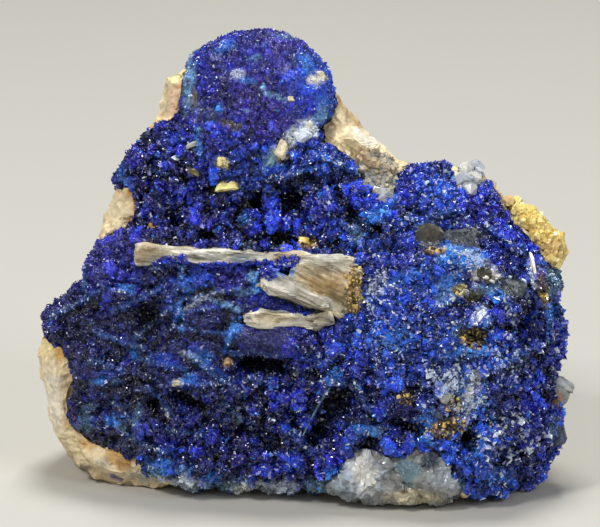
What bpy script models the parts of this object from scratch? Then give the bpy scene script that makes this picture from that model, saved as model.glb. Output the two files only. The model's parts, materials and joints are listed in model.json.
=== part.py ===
"""Linarite druse on its baryte and quartz matrix, cut flat underneath so that it stands.

Places are in millimetres on the specimen's leaning face: across to the right, up along the face,
and out towards the viewer. placed() turns them into metres with +Z up and the face towards -Y."""

import math
import random

import bmesh
import bpy
import numpy as np
from mathutils import Vector, geometry, noise

MM = 0.001
LEAN = math.radians(15)  # how far the face leans back
GAP = 0.35  # clearance between neighbouring minerals
WIDE_GAP = 0.45  # clearance round a crust, whose slanted floor narrows it
SEED = 11

# Outline of the whole specimen on its face, anticlockwise from the left of the base.
OUTLINE = [
    (-28.5, 3.1), (-22.5, 2.9), (-16.5, 3.1), (-8.5, 2.8), (-2, 2.6), (3.5, 2.2), (7.5, 1.4),
    (11.5, 0.6), (19, 0.1), (23.5, 0.5), (28.5, 1.5), (33.5, 2), (38.5, 3.7), (41.5, 6.2),
    (42.2, 9), (44, 11), (43.6, 15.5), (43.7, 20), (44, 25), (43.6, 27.5), (44.6, 29.3), (43.7, 32),
    (44, 36), (43.7, 39.5), (44.2, 43), (43.6, 45.3), (42, 47.3), (40, 49.2), (36, 51.2),
    (33.8, 53.3), (31.6, 56), (27.8, 57.2), (24.5, 57.6), (21.5, 57.2), (16.8, 58.2), (13, 61),
    (9.5, 65), (6.8, 69.4), (5.2, 73), (3, 76.2), (1.2, 77.9), (-2.5, 79.6), (-6.5, 80.2),
    (-11, 79.5), (-16, 77.6), (-18.8, 76), (-20, 73.6), (-22.5, 72.4), (-23.6, 68), (-26, 63.6),
    (-27.6, 61), (-30.2, 57.3), (-31.2, 53.6), (-32.2, 51), (-33.6, 47.5), (-34.1, 44.5),
    (-36.4, 41), (-37.2, 37.6), (-41.2, 35), (-43.7, 31.5), (-44.2, 27), (-43.7, 20.5),
    (-41.7, 13), (-38.1, 6.6), (-33.5, 3.7),
]

# Edge of the linarite crust, anticlockwise. Where it runs within about a millimetre of the
# outline the crust wraps round the edge of the rock; elsewhere bare rock or quartz shows.
CRUST_EDGE = [
    (-22.5, 4.6), (-16.5, 3.6), (-8.5, 3.3), (-2, 3.4), (3.5, 3.3), (6, 5.5), (7.6, 8.6),
    (9.6, 10.6), (12.5, 10.3), (14.6, 8.8), (17, 9.2), (20, 10.6), (23, 10), (24.8, 7.6),
    (26.5, 5), (27.6, 2.6), (33.5, 2.3), (38.3, 4), (41.2, 6.4), (41.8, 9), (43.6, 11.2),
    (43.2, 15.5), (42, 18.5), (42.2, 22), (43.6, 25), (43.2, 27.5), (44.2, 29.3), (43.3, 32),
    (43.6, 36), (43.2, 39.4), (41.2, 40.6), (38.6, 44.3), (36, 46.8), (34.2, 49), (32.8, 52.2),
    (31.2, 55), (30.2, 53), (28, 52.3), (26, 53.6), (25.4, 56.4), (24.3, 57.2), (21.3, 56.8),
    (18.3, 56.6), (16.6, 55.8), (15.9, 53.6), (15.4, 51), (14.6, 50), (13.2, 50.2), (11.8, 52),
    (10.2, 53.2), (9.8, 55.4), (8.6, 57.8), (6.6, 59.4), (4.4, 60.4), (3.2, 61.8), (3.8, 64),
    (5.4, 65.8), (6, 68), (5.2, 71.5), (4, 74.2), (2.2, 76), (0.6, 77.5), (-2.6, 79.2),
    (-6.5, 79.8), (-11, 79.1), (-15.8, 77.2), (-18.2, 75.2), (-19.4, 72), (-19.4, 68.5),
    (-20, 65.6), (-21.8, 64.1), (-24.2, 63), (-26.4, 62), (-27.2, 60.8), (-29.8, 57.1),
    (-30.8, 53.8), (-27.8, 53.1), (-27, 51), (-27.6, 48), (-29, 46.2), (-31.6, 45.2),
    (-33.4, 44.3), (-36, 40.9), (-36.7, 37), (-40.6, 34.5), (-43.2, 31.4), (-42.6, 28),
    (-39.6, 26), (-38.4, 23.6), (-37.8, 21), (-38.8, 18.6), (-38.6, 15.5), (-37, 12.6),
    (-34, 10.4), (-31, 9.8), (-28, 8.6), (-26, 7), (-25, 5.4),
]

FOOT_EDGE = [
    (4.2, 2.2), (7.5, 1.6), (11.5, 0.8), (19, 0.3), (23.5, 0.7), (27.2, 1.6), (26.6, 4.2),
    (24.8, 7), (23, 9.6), (20, 10.2), (17, 8.8), (14.6, 8.2), (12.4, 9.6), (9.6, 10), (7.8, 8),
    (6.2, 5.6), (4.4, 4.2),
]
YELLOW_EDGE = [
    (34.9, 50.9), (35.3, 49.5), (36.8, 47.6), (39.2, 45.2), (41, 42.4), (41.9, 41), (43.2, 40.6),
    (43.9, 41.6), (44, 43), (43.3, 45.2), (41.8, 47.2), (39.8, 49), (37.4, 50.7), (36, 51.4),
]
SADDLE_EDGE = [
    (9.4, 58), (10.2, 55.8), (10.6, 53.8), (12.2, 52.4), (13.6, 50.8), (14.6, 51), (15.2, 53.6),
    (16, 56), (15.6, 57.6), (13, 59), (10.6, 60),
]
SHOULDER_EDGE = [(26.6, 54), (28, 53), (29.6, 53.4), (30.4, 55), (29.8, 56.3), (27.8, 56.9), (26.2, 56.6)]

# How far out the face stands at places on it: across, up, out.
FACE_DEPTHS = [
    (-10, 77, -4), (-9, 69, -2), (-13, 62, -2), (0, 70, -3), (-1, 62, -2.5), (-19, 71, -6),
    (-23, 65, -7), (3, 75, -5), (7, 66, -8), (11, 60, -7), (15, 57, -6), (-26, 57, -5.5),
    (-16, 55, -4), (-8, 54, -4), (4, 57, -2), (-26, 49, -4.5), (-15, 47, -3), (-5, 46, -3),
    (6, 47, -1), (-24, 42, 0), (-14, 40, 0.5), (-4, 38, 1.5), (6, 37, 2.5), (-12, 32, 2),
    (0, 29, 3), (6, 26, 3), (-31, 42, -4.5), (-36, 34, -7), (-41, 30, -9.5), (-28, 35, -3),
    (-32, 25, -4), (-39, 20, -9), (-36, 13, -9), (-30, 6, -8), (-22, 12, -2), (-22, 22, -1),
    (-12, 20, 0), (-12, 12, 0), (-12, 5, -2.5), (0, 13, 0.5), (-2, 5, -1.5), (9, 17, 2),
    (9, 4, 2.5), (20, 4, 4), (28, 6, 3), (13, 46, 1.5), (24, 50, -1), (14, 37, 4.5),
    (25, 40, 5.5), (25, 30, 7.5), (16, 27, 6), (22, 20, 7), (33, 34, 4.5), (33, 22, 5),
    (38, 43, -4), (40, 31, -1), (40, 19, -1.5), (38, 8, -3), (32, 12, 3), (33, 49, -5.5),
    (29, 55, -5.5), (23, 55.5, -3.5), (-30, 50, -8),
]
# Radius with which the face rounds over at the outline: across, up, radius.
EDGE_RADII = [
    (-43, 25, 5), (-22, 70, 4), (-6, 80, 3), (9, 65, 3.5), (30, 56, 5), (44, 43, 6), (44, 28, 8),
    (43, 10, 8), (33, 3, 6), (15, 1, 3.5), (-8, 3, 4.5), (-28, 4, 4.5), (-33, 48, 4),
]

# Hollows and blocks: across, up, half width, half height, turn in degrees, rise (negative for
# a hollow), and how steep the sides are (0.2 is a cliff, 1 a gentle swell).
FORMS = [
    # Open vugs below the crest
    (-1.2, 51.2, 2.9, 3.2, 20, -6.0, 0.45), (1.4, 54.2, 1.9, 1.2, 10, -3.6, 0.6),
    (-7, 50.6, 1.6, 2.3, 8, -4.8, 0.5), (-10.7, 48.4, 1.2, 1.5, 0, -3.2, 0.6),
    (-15.6, 45.6, 1.7, 1.3, 0, -3.6, 0.5), (8.6, 48.6, 1.3, 2.6, -12, -3.4, 0.6),
    (12.6, 46.2, 1.3, 1.2, 0, -3.0, 0.6), (-25.8, 58.8, 1.3, 1.2, 0, -1.6, 0.7),
    (-24.6, 53.6, 2.0, 1.0, 20, -2.4, 0.6), (-19.4, 53, 1.4, 1.0, 0, -2.2, 0.7),
    (-20.4, 47.4, 2.6, 0.9, 0, -2.6, 0.6), (-15.6, 52.6, 1.3, 1.2, 0, -1.8, 0.7),
    (18.1, 49.7, 1.2, 1.3, 0, -2.2, 0.6), (-1.8, 44.6, 2.0, 1.0, 0, -2.2, 0.6),
    (-13.2, 54.8, 5.5, 0.8, 0, -1.0, 0.8),
    # Raised crest plate with its step down to the vugs
    (-7, 70, 12.5, 9.5, -4, 1.3, 0.35), (3, 57.4, 6.5, 2.0, 22, 1.5, 0.6),
    # Block under the ledge, and the deep hollow that it overhangs
    (-4.5, 28.4, 8.2, 2.9, -3, 3.4, 0.3), (-16.2, 32.4, 4.2, 2.8, 4, 2.4, 0.35),
    (-6.2, 23.6, 5.2, 2.3, -6, -7.2, 0.4), (-17, 37.6, 4.5, 2.0, 8, 1.2, 0.5),
    (-25.4, 31.6, 3.0, 3.2, 20, -3.2, 0.6), (-33, 37, 4.2, 4.6, -30, 1.2, 0.7),
    # Left slope and lower middle
    (-24.4, 16.8, 1.9, 1.7, 0, -2.8, 0.6), (-18.6, 17.6, 4.2, 1.5, -24, -4.2, 0.5),
    (-12, 13.2, 4.0, 1.3, 0, -2.2, 0.7), (-6.2, 10.8, 1.7, 1.9, 15, -3.4, 0.55),
    (-16.8, 21.8, 5.2, 2.2, -22, 1.4, 0.5), (-31.6, 22.6, 4.6, 3.0, 10, 1.2, 0.6),
    (-29.6, 17.8, 5.0, 0.9, 10, -1.4, 0.7), (-22.6, 11, 3.4, 0.9, -10, -1.6, 0.7),
    # Cleft beside the thin blade, and the cave over the quartz foot
    (6.4, 16.2, 3.0, 5.2, -26, -6.2, 0.4), (2.2, 12.2, 1.3, 2.2, -26, -3.4, 0.5),
    (10.6, 11.4, 2.9, 1.2, -6, -3.6, 0.5), (11, 13.4, 3.6, 0.9, -10, 1.0, 0.7),
    # Right dome: pits, windows, groove and ribs
    (28.5, 28.4, 2.7, 2.1, -8, -2.8, 0.45), (22.2, 45, 2.2, 2.0, 0, -1.2, 0.5),
    (27.2, 44.6, 3.0, 1.1, 0, -1.0, 0.5), (31, 38.6, 2.5, 1.3, -24, -1.2, 0.5),
    (35.4, 33.2, 3.4, 3.3, 0, 1.8, 0.5), (37.4, 31.6, 1.3, 2.9, -28, -2.6, 0.6),
    (34.6, 29.6, 2.6, 0.9, -16, -2.0, 0.6), (17.6, 13.2, 3.8, 2.1, -8, -4.6, 0.5),
    (17.8, 18.4, 1.5, 1.4, 0, -2.2, 0.6), (27.4, 11.6, 2.8, 2.2, 12, -5.0, 0.45),
    (37.6, 22.8, 5.2, 0.9, 30, -1.8, 0.7), (35.4, 10, 2.6, 1.4, 10, -2.2, 0.6),
    (30, 24.6, 6.5, 2.2, -12, 1.0, 0.7), (16, 42.4, 5.0, 1.4, 18, -0.9, 0.8),
    (13.6, 33.6, 2.4, 4.0, 12, 1.0, 0.6), (32.6, 46.4, 4.6, 1.8, -46, 0.9, 0.6),
    # Bare rock: ribs on the left flank and beside the crest
    (-41.5, 22, 1.4, 5.0, -4, 0.9, 0.8), (-29, 50, 2.6, 3.0, 12, 2.2, 0.45),
    (9.4, 62, 1.4, 5.4, 36, 1.3, 0.7), (-22.6, 68, 1.3, 4.0, -20, 0.9, 0.7),
]

# The rounded crystal groups that stand out one by one: across, up, radius, height.
MAIN_LUMPS = [
    (-24, 50.8, 2.3, 2.2), (-21.4, 50, 1.7, 1.8), (-18.4, 48.2, 2.0, 2.0), (-14.6, 49.8, 1.7, 1.7),
    (-13.4, 46.9, 1.7, 1.8), (-9.1, 47.6, 1.6, 2.0), (-6.7, 46.8, 1.7, 2.0), (-3.6, 47, 1.8, 2.2),
    (-21.9, 54.4, 2.2, 1.9), (-22.6, 58.4, 2.1, 1.6), (-17.6, 57.8, 1.9, 1.2), (-11.4, 51.6, 1.6, 1.5),
    (-17.2, 51.2, 1.6, 1.5), (3.1, 49.6, 2.5, 2.4), (1.2, 46, 1.4, 1.6), (-26.4, 49.4, 1.5, 1.6),
    (-21.6, 45.4, 3.0, 2.0), (5.9, 45.2, 1.8, 1.6), (-9.6, 43.9, 1.9, 1.4), (-4.4, 51.6, 1.2, 1.8),
    (-4.9, 15.2, 2.6, 3.0), (-7, 20.2, 1.9, 2.4), (0.4, 18.6, 1.8, 2.0), (7, 14.4, 2.0, 2.6),
    (-0.6, 22.6, 2.2, 1.8), (-10.4, 15, 1.5, 1.8), (-12.4, 7.4, 1.9, 1.8), (-8.2, 8, 1.6, 1.6),
    (-2.2, 9, 2.0, 1.6), (2.4, 7, 2.0, 1.5), (-16, 11, 1.9, 1.6), (-19.6, 7.2, 2.2, 1.5),
    (-24.2, 6.6, 1.8, 1.2), (-30.4, 14.2, 2.2, 1.3), (-34.6, 17, 2.2, 1.2), (-26.4, 24, 2.4, 1.4),
    (35.2, 33.4, 2.6, 1.4), (31.4, 21, 2.2, 1.5), (37.8, 14.6, 2.3, 1.5), (27.6, 6.6, 2.4, 1.8),
    (34, 6, 2.3, 1.6), (21.4, 24.4, 2.2, 1.2), (30.4, 10.2, 1.8, 1.8), (23.4, 13.2, 1.8, 1.6),
    (38.6, 27.4, 2.4, 1.4), (40, 35, 2.2, 1.2), (20.2, 53.8, 2.4, 1.3), (22.6, 49.6, 2.2, 1.2),
]
# Usual radius and height of the other crystal groups: across, up, radius, height.
LUMP_SIZES = [
    (-8, 70, 2.4, 0.6), (2, 70, 2.3, 0.6), (-16, 64, 2.1, 0.8), (-8, 60, 2.0, 0.9),
    (-22, 56, 1.9, 1.4), (-14, 50, 1.7, 1.7), (0, 50, 1.8, 1.7), (5, 57, 2.1, 1.2),
    (-34, 36, 2.8, 1.0), (-28, 30, 2.6, 1.1), (-14, 33, 2.5, 1.0), (-2, 28, 2.4, 1.0),
    (-28, 14, 2.1, 1.3), (-14, 12, 1.9, 1.5), (-2, 12, 1.9, 1.5), (14, 40, 2.3, 1.1),
    (24, 34, 2.4, 1.1), (20, 20, 2.2, 1.3), (34, 26, 2.4, 1.3), (34, 10, 2.2, 1.4),
    (24, 52, 2.3, 1.1), (36, 40, 2.4, 1.1),
]

OUTLINE_STEP = 1.2
CRUST_STEP = 2.0
ROCK_STEP = 3.2
FLOOR_SPACING = 4.8
BACK_SPACING = 4.6
CRUST_LIP = 1.2  # thickness of the crust where it ends
CRUST_LEAST = 0.9  # thickness of the crust under its deepest hollows
CRUST_DEPTH = 1.2  # how far the crust's floor lies under the rock's face
QUARTZ_LIP = 0.9
QUARTZ_DEPTH = 0.8  # how far a quartz plug reaches below its own edge
CUTTER_LIFT = 3.0  # how far a cutter stands clear above what it makes room for
BASE_THICKNESS = 46.0
CREST_THICKNESS = 17.0
ROCK_MIDDLE = (0.0, 34.0)  # place that the rock's sides draw in towards
# Rings round the rock's sides: share of its depth, and how far each draws in.
ROCK_RINGS = ((0.3, 0.0), (0.65, 0.05), (0.93, 0.16))
BREAKS = 46  # flat breaks that the back is made of


def placed(flat, out):
    """World places in metres of face places in millimetres."""
    across, up = flat[:, 0], flat[:, 1]
    deep = up * math.sin(LEAN) - out * math.cos(LEAN)
    high = up * math.cos(LEAN) + out * math.sin(LEAN)
    return np.stack([across, deep, high], axis=1) * MM


def smooth_step(value):
    """0 below 0, 1 above 1, and a soft rise between."""
    value = np.clip(value, 0, 1)
    return value * value * (3 - 2 * value)


def cross(one, other):
    """Cross products of flat vectors."""
    return one[..., 0] * other[..., 1] - one[..., 1] * other[..., 0]


def rough(flat, size, layer):
    """Smooth seeded noise from -1 to 1 with swells of about the given size."""
    return np.array([noise.noise(Vector((x / size, y / size, layer))) for x, y in flat])


def spread(flat, controls, column):
    """Values of hand-set places, blended smoothly over the face."""
    controls = np.array(controls, float)
    apart = ((flat[:, None, :] - controls[None, :, :2]) ** 2).sum(axis=2)
    weight = 1 / (apart + 6.0) ** 2
    return (weight * controls[None, :, column]).sum(axis=1) / weight.sum(axis=1)


def resampled(loop, step, wobble=0.0, layer=0.0):
    """A closed outline walked in even steps, with a little roughness."""
    corners = np.array(loop, float)
    runs = np.linalg.norm(np.roll(corners, -1, axis=0) - corners, axis=1)
    marks = np.concatenate([[0], np.cumsum(runs)])
    count = max(6, round(marks[-1] / step))
    walk = np.linspace(0, marks[-1], count, endpoint=False)
    closed = np.vstack([corners, corners[:1]])
    flat = np.stack([np.interp(walk, marks, closed[:, i]) for i in (0, 1)], axis=1)
    return flat + outward(flat) * (wobble * rough(flat, 1.9, layer))[:, None]


def outward(loop):
    """Unit normals of an anticlockwise loop, pointing out of it."""
    along = np.roll(loop, -1, axis=0) - np.roll(loop, 1, axis=0)
    normal = np.stack([along[:, 1], -along[:, 0]], axis=1)
    return normal / np.linalg.norm(normal, axis=1)[:, None]


def crossed(loop):
    """Marks the sides of a closed loop that cross another side."""
    ends = np.roll(loop, -1, axis=0)
    a, b, c, d = loop[:, None], ends[:, None], loop[None], ends[None]
    apart = cross(b - a, c - a) * cross(b - a, d - a) < 0
    astride = cross(d - c, a - c) * cross(d - c, b - c) < 0
    return (apart & astride).any(axis=1)


def moved_out(loop, amount):
    """A closed loop moved outwards, or inwards, and by less where it would fold over itself."""
    amount = np.full(len(loop), float(amount)) if np.isscalar(amount) else amount.copy()
    normal = outward(loop)
    normal = np.roll(normal, 1, axis=0) + 2 * normal + np.roll(normal, -1, axis=0)
    normal /= np.linalg.norm(normal, axis=1)[:, None]
    for _ in range(40):
        moved = loop + normal * amount[:, None]
        bad = crossed(moved)
        sides = np.roll(loop, -1, axis=0) - loop
        kept_way = ((np.roll(moved, -1, axis=0) - moved) * sides).sum(axis=1) / (sides**2).sum(axis=1)
        bad |= kept_way < 0.12
        if not bad.any():
            return moved
        bad |= np.roll(bad, 1)
        amount[bad] *= 0.75
    raise ValueError("a loop still folds over itself")


def inside(flat, loop):
    """Distance of each place inside a closed loop, negative outside it."""
    ends = np.roll(loop, -1, axis=0)
    run = ends - loop
    to = flat[:, None, :] - loop[None]
    part = np.clip((to * run).sum(axis=2) / (run**2).sum(axis=1), 0, 1)
    near = np.sqrt(((to - part[..., None] * run) ** 2).sum(axis=2)).min(axis=1)
    x, y = flat[:, :1], flat[:, 1:]
    level = (loop[:, 1] > y) != (ends[:, 1] > y)
    rise = np.where(run[:, 1] == 0, 1, run[:, 1])
    left = x < loop[:, 0] + (y - loop[:, 1]) / rise * run[:, 0]
    within = (level & left).sum(axis=1) % 2 == 1
    return np.where(within, near, -near)


SILHOUETTE = resampled(OUTLINE, OUTLINE_STEP)


def form_reach(flat, form):
    """How far into one hollow or block each place lies: 0 at its foot, 1 at its middle."""
    across, up, half_width, half_height, turn = form[:5]
    angle = math.radians(turn)
    x, y = flat[:, 0] - across, flat[:, 1] - up
    along = (x * math.cos(angle) + y * math.sin(angle)) / half_width
    over = (y * math.cos(angle) - x * math.sin(angle)) / half_height
    return 1 - np.sqrt(along**2 + over**2)


def face(flat):
    """How far out the rock's face stands, without its crust."""
    out = spread(flat, FACE_DEPTHS, 2) + 0.5 * rough(flat, 5.0, 3.0)
    for form in FORMS:
        out += form[5] * smooth_step(form_reach(flat, form) / form[6] * 0.9 + 0.1)
    radius = spread(flat, EDGE_RADII, 2)
    near = 1 - np.clip(inside(flat, SILHOUETTE) / radius, 0, 1)
    return out - radius * (1 - np.sqrt(np.clip(1 - near**2, 0, 1)))


def lump_rise(flat, lumps):
    """Height of the crystal groups: rounded heads with narrow valleys between them."""
    rise = np.full(len(flat), -0.25)
    for across, up, radius, height in lumps:
        part = 1 - ((flat[:, 0] - across) ** 2 + (flat[:, 1] - up) ** 2) / radius**2
        rise = np.maximum(rise, height * np.sqrt(np.clip(part, 0, 1)) - 0.25)
    return rise


class Points:
    """Places on the face, each kept a set distance from the ones before it."""

    def __init__(self, first):
        self.kept = np.array(first, float)

    def add(self, flat, apart):
        """Takes the places that stand clear of all the ones kept so far."""
        for place in flat:
            if ((self.kept - place) ** 2).sum(axis=1).min() >= apart**2:
                self.kept = np.vstack([self.kept, place])


def scattered(loop, count, chance):
    """Seeded random places over the box round a loop."""
    low, high = loop.min(axis=0), loop.max(axis=0)
    return np.array([[chance.uniform(low[i], high[i]) for i in (0, 1)] for _ in range(count)])


def chosen_lumps(loop, sizes, main, chance, margin):
    """The named crystal groups, and others that fill the room between them."""
    lumps = list(main)
    tries = scattered(loop, 6000, chance)
    tries = tries[inside(tries, loop) > margin]
    radii, heights = spread(tries, sizes, 2), spread(tries, sizes, 3)
    pits = [form for form in FORMS if form[5] < -2]
    for place, radius, height in zip(tries, radii, heights):
        radius *= chance.uniform(0.75, 1.15)
        height *= chance.uniform(0.7, 1.3)
        if any(form_reach(place[None], form)[0] > 0.15 for form in pits):
            continue
        if all(math.dist(place, lump[:2]) > 0.82 * (radius + lump[2]) for lump in lumps):
            lumps.append((place[0], place[1], radius, height))
    return lumps


def lump_points(lumps, chance):
    """Summit and shoulder corners that give every crystal group flat facets."""
    places = []
    for across, up, radius, _ in lumps:
        sides = chance.choice((4, 5, 5))
        turn = chance.uniform(0, math.tau)
        summit = 0.12 * radius
        places.append((across + chance.uniform(-summit, summit), up + chance.uniform(-summit, summit)))
        for side in range(sides):
            angle = turn + math.tau * side / sides
            reach = radius * chance.uniform(0.6, 0.78)
            places.append((across + reach * math.cos(angle), up + reach * math.sin(angle)))
    return np.array(places)


def form_points(loop):
    """Corners along the brink and the floor of the steep forms."""
    places = []
    for across, up, half_width, half_height, turn, rise, side in FORMS:
        if abs(rise) < 1.5:
            continue
        angle = math.radians(turn)
        for reach in (1.02, max(0.35, 1 - side)):
            count = max(5, round(math.pi * (half_width + half_height) * reach / 2.1))
            for step in range(count):
                swing = math.tau * step / count
                x = half_width * reach * math.cos(swing)
                y = half_height * reach * math.sin(swing)
                places.append((
                    across + x * math.cos(angle) - y * math.sin(angle),
                    up + x * math.sin(angle) + y * math.cos(angle),
                ))
        places.append((across, up))
    places = np.array(places)
    return places[inside(places, loop) > 1.2]


def rows_inside(loop, offsets):
    """Rows of corners that follow a loop at set distances inside it."""
    rows = []
    for offset in offsets:
        row = loop - outward(loop) * offset
        rows.append(row[inside(row, loop) > 0.85 * offset])
    return np.vstack(rows)


def covered(loop, kept):
    """Triangles over the places in a loop, whose own corners come first."""
    count = len(loop)
    edges = [(i, (i + 1) % count) for i in range(count)]
    corners = [Vector(place) for place in kept]
    found = geometry.delaunay_2d_cdt(corners, edges, [], 1, 1e-6)
    if len(found[0]) != len(kept):
        raise ValueError("a loop crosses itself or holds a doubled corner")
    order = [origin[0] for origin in found[3]]
    return [tuple(order[corner] for corner in triangle) for triangle in found[2]]


def lowest_near(flat, kept, crown, reach):
    """The lowest crown height within reach of each place."""
    near = ((flat[:, None, :] - kept[None]) ** 2).sum(axis=2) < reach**2
    return np.where(near, crown[None], np.inf).min(axis=1)


def let_down(under, low, triangles, kept, crown):
    """Floor heights, lowered until each crown corner stands clear above the floor."""
    corners = np.array(triangles)
    a, b, c = (under[corners[:, i]] for i in range(3))
    area = cross(b - a, c - a)
    place = kept[:, None, :]
    share_b = cross(place - a[None], (c - a)[None]) / area
    share_c = cross((b - a)[None], place - a[None]) / area
    share_a = 1 - share_b - share_c
    over = (share_a > -1e-6) & (share_b > -1e-6) & (share_c > -1e-6)
    points, seats = np.nonzero(over)
    shares = np.stack([share_a[over], share_b[over], share_c[over]], axis=1)
    low = low.copy()
    for _ in range(12):
        short = (shares * low[corners[seats]]).sum(axis=1) + CRUST_LEAST - crown[points]
        if short.max() <= 0:
            break
        for i in range(3):
            np.minimum.at(low, corners[seats, i], low[corners[seats, i]] - np.maximum(short, 0))
    return low


def crust_solid(name, material, loop, crown, kept, reach_back, floor, lip, grow=0.0, lift=0.0):
    """A closed crust: its crown, an edge that reaches back round the rock, and its floor.

    grow widens it on every side and lift raises its crown, to cut room for it in a neighbour."""
    count = len(loop)
    top = kept.copy()
    top[:count] = moved_out(loop, grow)
    lip_loop = moved_out(loop, -lip)
    under = Points(lip_loop)
    under.add(rows_inside(lip_loop, (2.0,))[::2], 1.5)
    grid = scattered(lip_loop, 4000, random.Random(SEED + 5))
    under.add(grid[inside(grid, lip_loop) > 1.6], FLOOR_SPACING * 0.86)
    edge_out = np.minimum(crown[:count] - reach_back, lowest_near(loop, kept, crown, 2.6) - 0.7)
    low = floor(under.kept)
    low[:count] = edge_out
    under_faces = covered(lip_loop, under.kept)
    low = let_down(under.kept, low, under_faces, kept, crown)
    sway = np.clip((edge_out - floor(lip_loop)) / 0.5, -1, 1)
    under.kept[:count] = moved_out(lip_loop, sway * grow)
    shape = bmesh.new()
    crown_corners = [shape.verts.new(p) for p in placed(top, crown + lift)]
    edge_corners = [shape.verts.new(p) for p in placed(top[:count], low[:count] - grow)]
    under_corners = [shape.verts.new(p) for p in placed(under.kept, low - grow)]
    for triangle in covered(loop, kept):
        shape.faces.new([crown_corners[i] for i in triangle])
    for triangle in under_faces:
        shape.faces.new([under_corners[i] for i in reversed(triangle)])
    join_rings(shape, crown_corners[:count], edge_corners)
    join_rings(shape, edge_corners, under_corners[:count])
    return finished(name, shape, material)


def join_rings(shape, upper, lower):
    """A wall between two rings of corners, in triangles."""
    count = len(upper)
    for i in range(count):
        j = (i + 1) % count
        shape.faces.new((upper[i], lower[i], lower[j]))
        shape.faces.new((upper[i], lower[j], upper[j]))


def finished(name, shape, material):
    """Puts a finished shape in the scene under its name."""
    mesh = bpy.data.meshes.new(name)
    shape.to_mesh(mesh)
    shape.free()
    mesh.materials.append(material)
    node = bpy.data.objects.new(name, mesh)
    bpy.context.scene.collection.objects.link(node)
    return node


def finish(name, colour, roughness, metallic=0.0):
    """A plain material in one mineral's colour."""
    material = bpy.data.materials.new(name)
    material.use_nodes = True
    shader = material.node_tree.nodes["Principled BSDF"]
    shader.inputs["Base Color"].default_value = (*colour, 1)
    shader.inputs["Roughness"].default_value = roughness
    shader.inputs["Metallic"].default_value = metallic
    return material


def boolean(node, other, operation):
    """Joins or cuts two solids and keeps the largest body of the result."""
    modifier = node.modifiers.new(operation, "BOOLEAN")
    modifier.object = other
    modifier.operation = operation
    modifier.solver = "EXACT"
    evaluated = node.evaluated_get(bpy.context.evaluated_depsgraph_get())
    mesh = bpy.data.meshes.new_from_object(evaluated)
    node.modifiers.clear()
    node.data = mesh
    keep_largest(node)


def keep_largest(node):
    """Drops the crumbs that a cut leaves loose."""
    shape = bmesh.new()
    shape.from_mesh(node.data)
    left = set(shape.verts)
    bodies = []
    while left:
        body = {left.pop()}
        front = list(body)
        while front:
            corner = front.pop()
            for edge in corner.link_edges:
                other = edge.other_vert(corner)
                if other in left:
                    left.discard(other)
                    body.add(other)
                    front.append(other)
        bodies.append(body)
    bodies.sort(key=len, reverse=True)
    for body in bodies[1:]:
        bmesh.ops.delete(shape, geom=list(body), context="VERTS")
    bmesh.ops.triangulate(shape, faces=shape.faces)
    shape.to_mesh(node.data)
    shape.free()


def cut_flat(node, level=0.0):
    """Cuts a solid off at the level that it rests on and closes it with a flat face."""
    shape = bmesh.new()
    shape.from_mesh(node.data)
    if min(corner.co.z for corner in shape.verts) < level:
        parts = list(shape.verts) + list(shape.edges) + list(shape.faces)
        bmesh.ops.bisect_plane(
            shape, geom=parts, dist=1e-7, plane_co=(0, 0, level), plane_no=(0, 0, -1), clear_outer=True
        )
        open_edges = [edge for edge in shape.edges if edge.is_boundary]
        bmesh.ops.triangle_fill(shape, use_beauty=True, use_dissolve=False, edges=open_edges)
        bmesh.ops.recalc_face_normals(shape, faces=shape.faces)
    shape.to_mesh(node.data)
    shape.free()
    keep_largest(node)


def wrap_share(flat, edge, near=1.0, far=1.9):
    """1 where a loop runs along the other, 0 where they part."""
    return smooth_step((far - np.abs(inside(flat, edge))) / (far - near))


def linarite(material, grow=0.0, lift=0.0):
    """The blue druse: lumpy crown, lip that wraps the rock's edge, floor that follows the rock."""
    loop = crust_outline()
    chance = random.Random(SEED)
    lumps = chosen_lumps(loop, LUMP_SIZES, MAIN_LUMPS, chance, 1.6)
    points = Points(loop)
    points.add(rows_inside(loop, (1.1,)), 1.2)
    points.add(form_points(loop), 1.1)
    corners = lump_points(lumps, chance)
    points.add(corners[inside(corners, loop) > 0.9], 0.85)
    fill = scattered(loop, 9000, chance)
    fill = fill[inside(fill, loop) > 1.4]
    points.add(fill[lump_rise(fill, lumps) < 0.2], 2.0)
    kept = points.kept
    edge = inside(kept, loop)
    taper = smooth_step(edge / 2.2)
    crown = face(kept) + 0.45 + 0.75 * taper + lump_rise(kept, lumps) * (0.25 + 0.75 * taper)
    crown += 0.26 * rough(kept, 0.9, 8.0)
    wrapped = wrap_share(loop, SILHOUETTE)
    reach_back = 1.3 + wrapped * (2.6 + 1.6 * rough(loop, 7.0, 5.0))

    def floor(flat):
        lowest = lowest_near(flat, kept, crown, FLOOR_SPACING * 0.75)
        return np.minimum(lowest, face(flat)) - CRUST_DEPTH

    return crust_solid(
        "linarite_crust", material, loop, crown, kept, reach_back, floor, CRUST_LIP, grow, lift
    )


def cluster(name, material, edge, lumps, reach_back, proud, grow=0.0, lift=0.0):
    """A small patch of quartz: faceted heads on a plug that sits in the rock."""
    loop = resampled(edge, 1.5, 0.15, 2.0)
    chance = random.Random(SEED + 3)
    points = Points(loop)
    corners = lump_points(lumps, chance)
    points.add(corners[inside(corners, loop) > 0.55], 0.75)
    fill = scattered(loop, 2500, chance)
    points.add(fill[inside(fill, loop) > 0.8], 1.5)
    kept = points.kept
    taper = smooth_step(inside(kept, loop) / 1.4)
    crown = face(kept) + proud * (0.3 + 0.7 * taper) + lump_rise(kept, lumps) * (0.3 + 0.7 * taper)
    rim = crown[: len(loop)]
    back = rim - rim.mean() + reach_back * (1 + 0.15 * rough(loop, 8.0, 6.0))
    deepest = min(crown.min(), (rim - back).min()) - QUARTZ_DEPTH

    def floor(flat):
        return np.full(len(flat), deepest)

    return crust_solid(name, material, loop, crown, kept, back, floor, QUARTZ_LIP, grow, lift)


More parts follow.
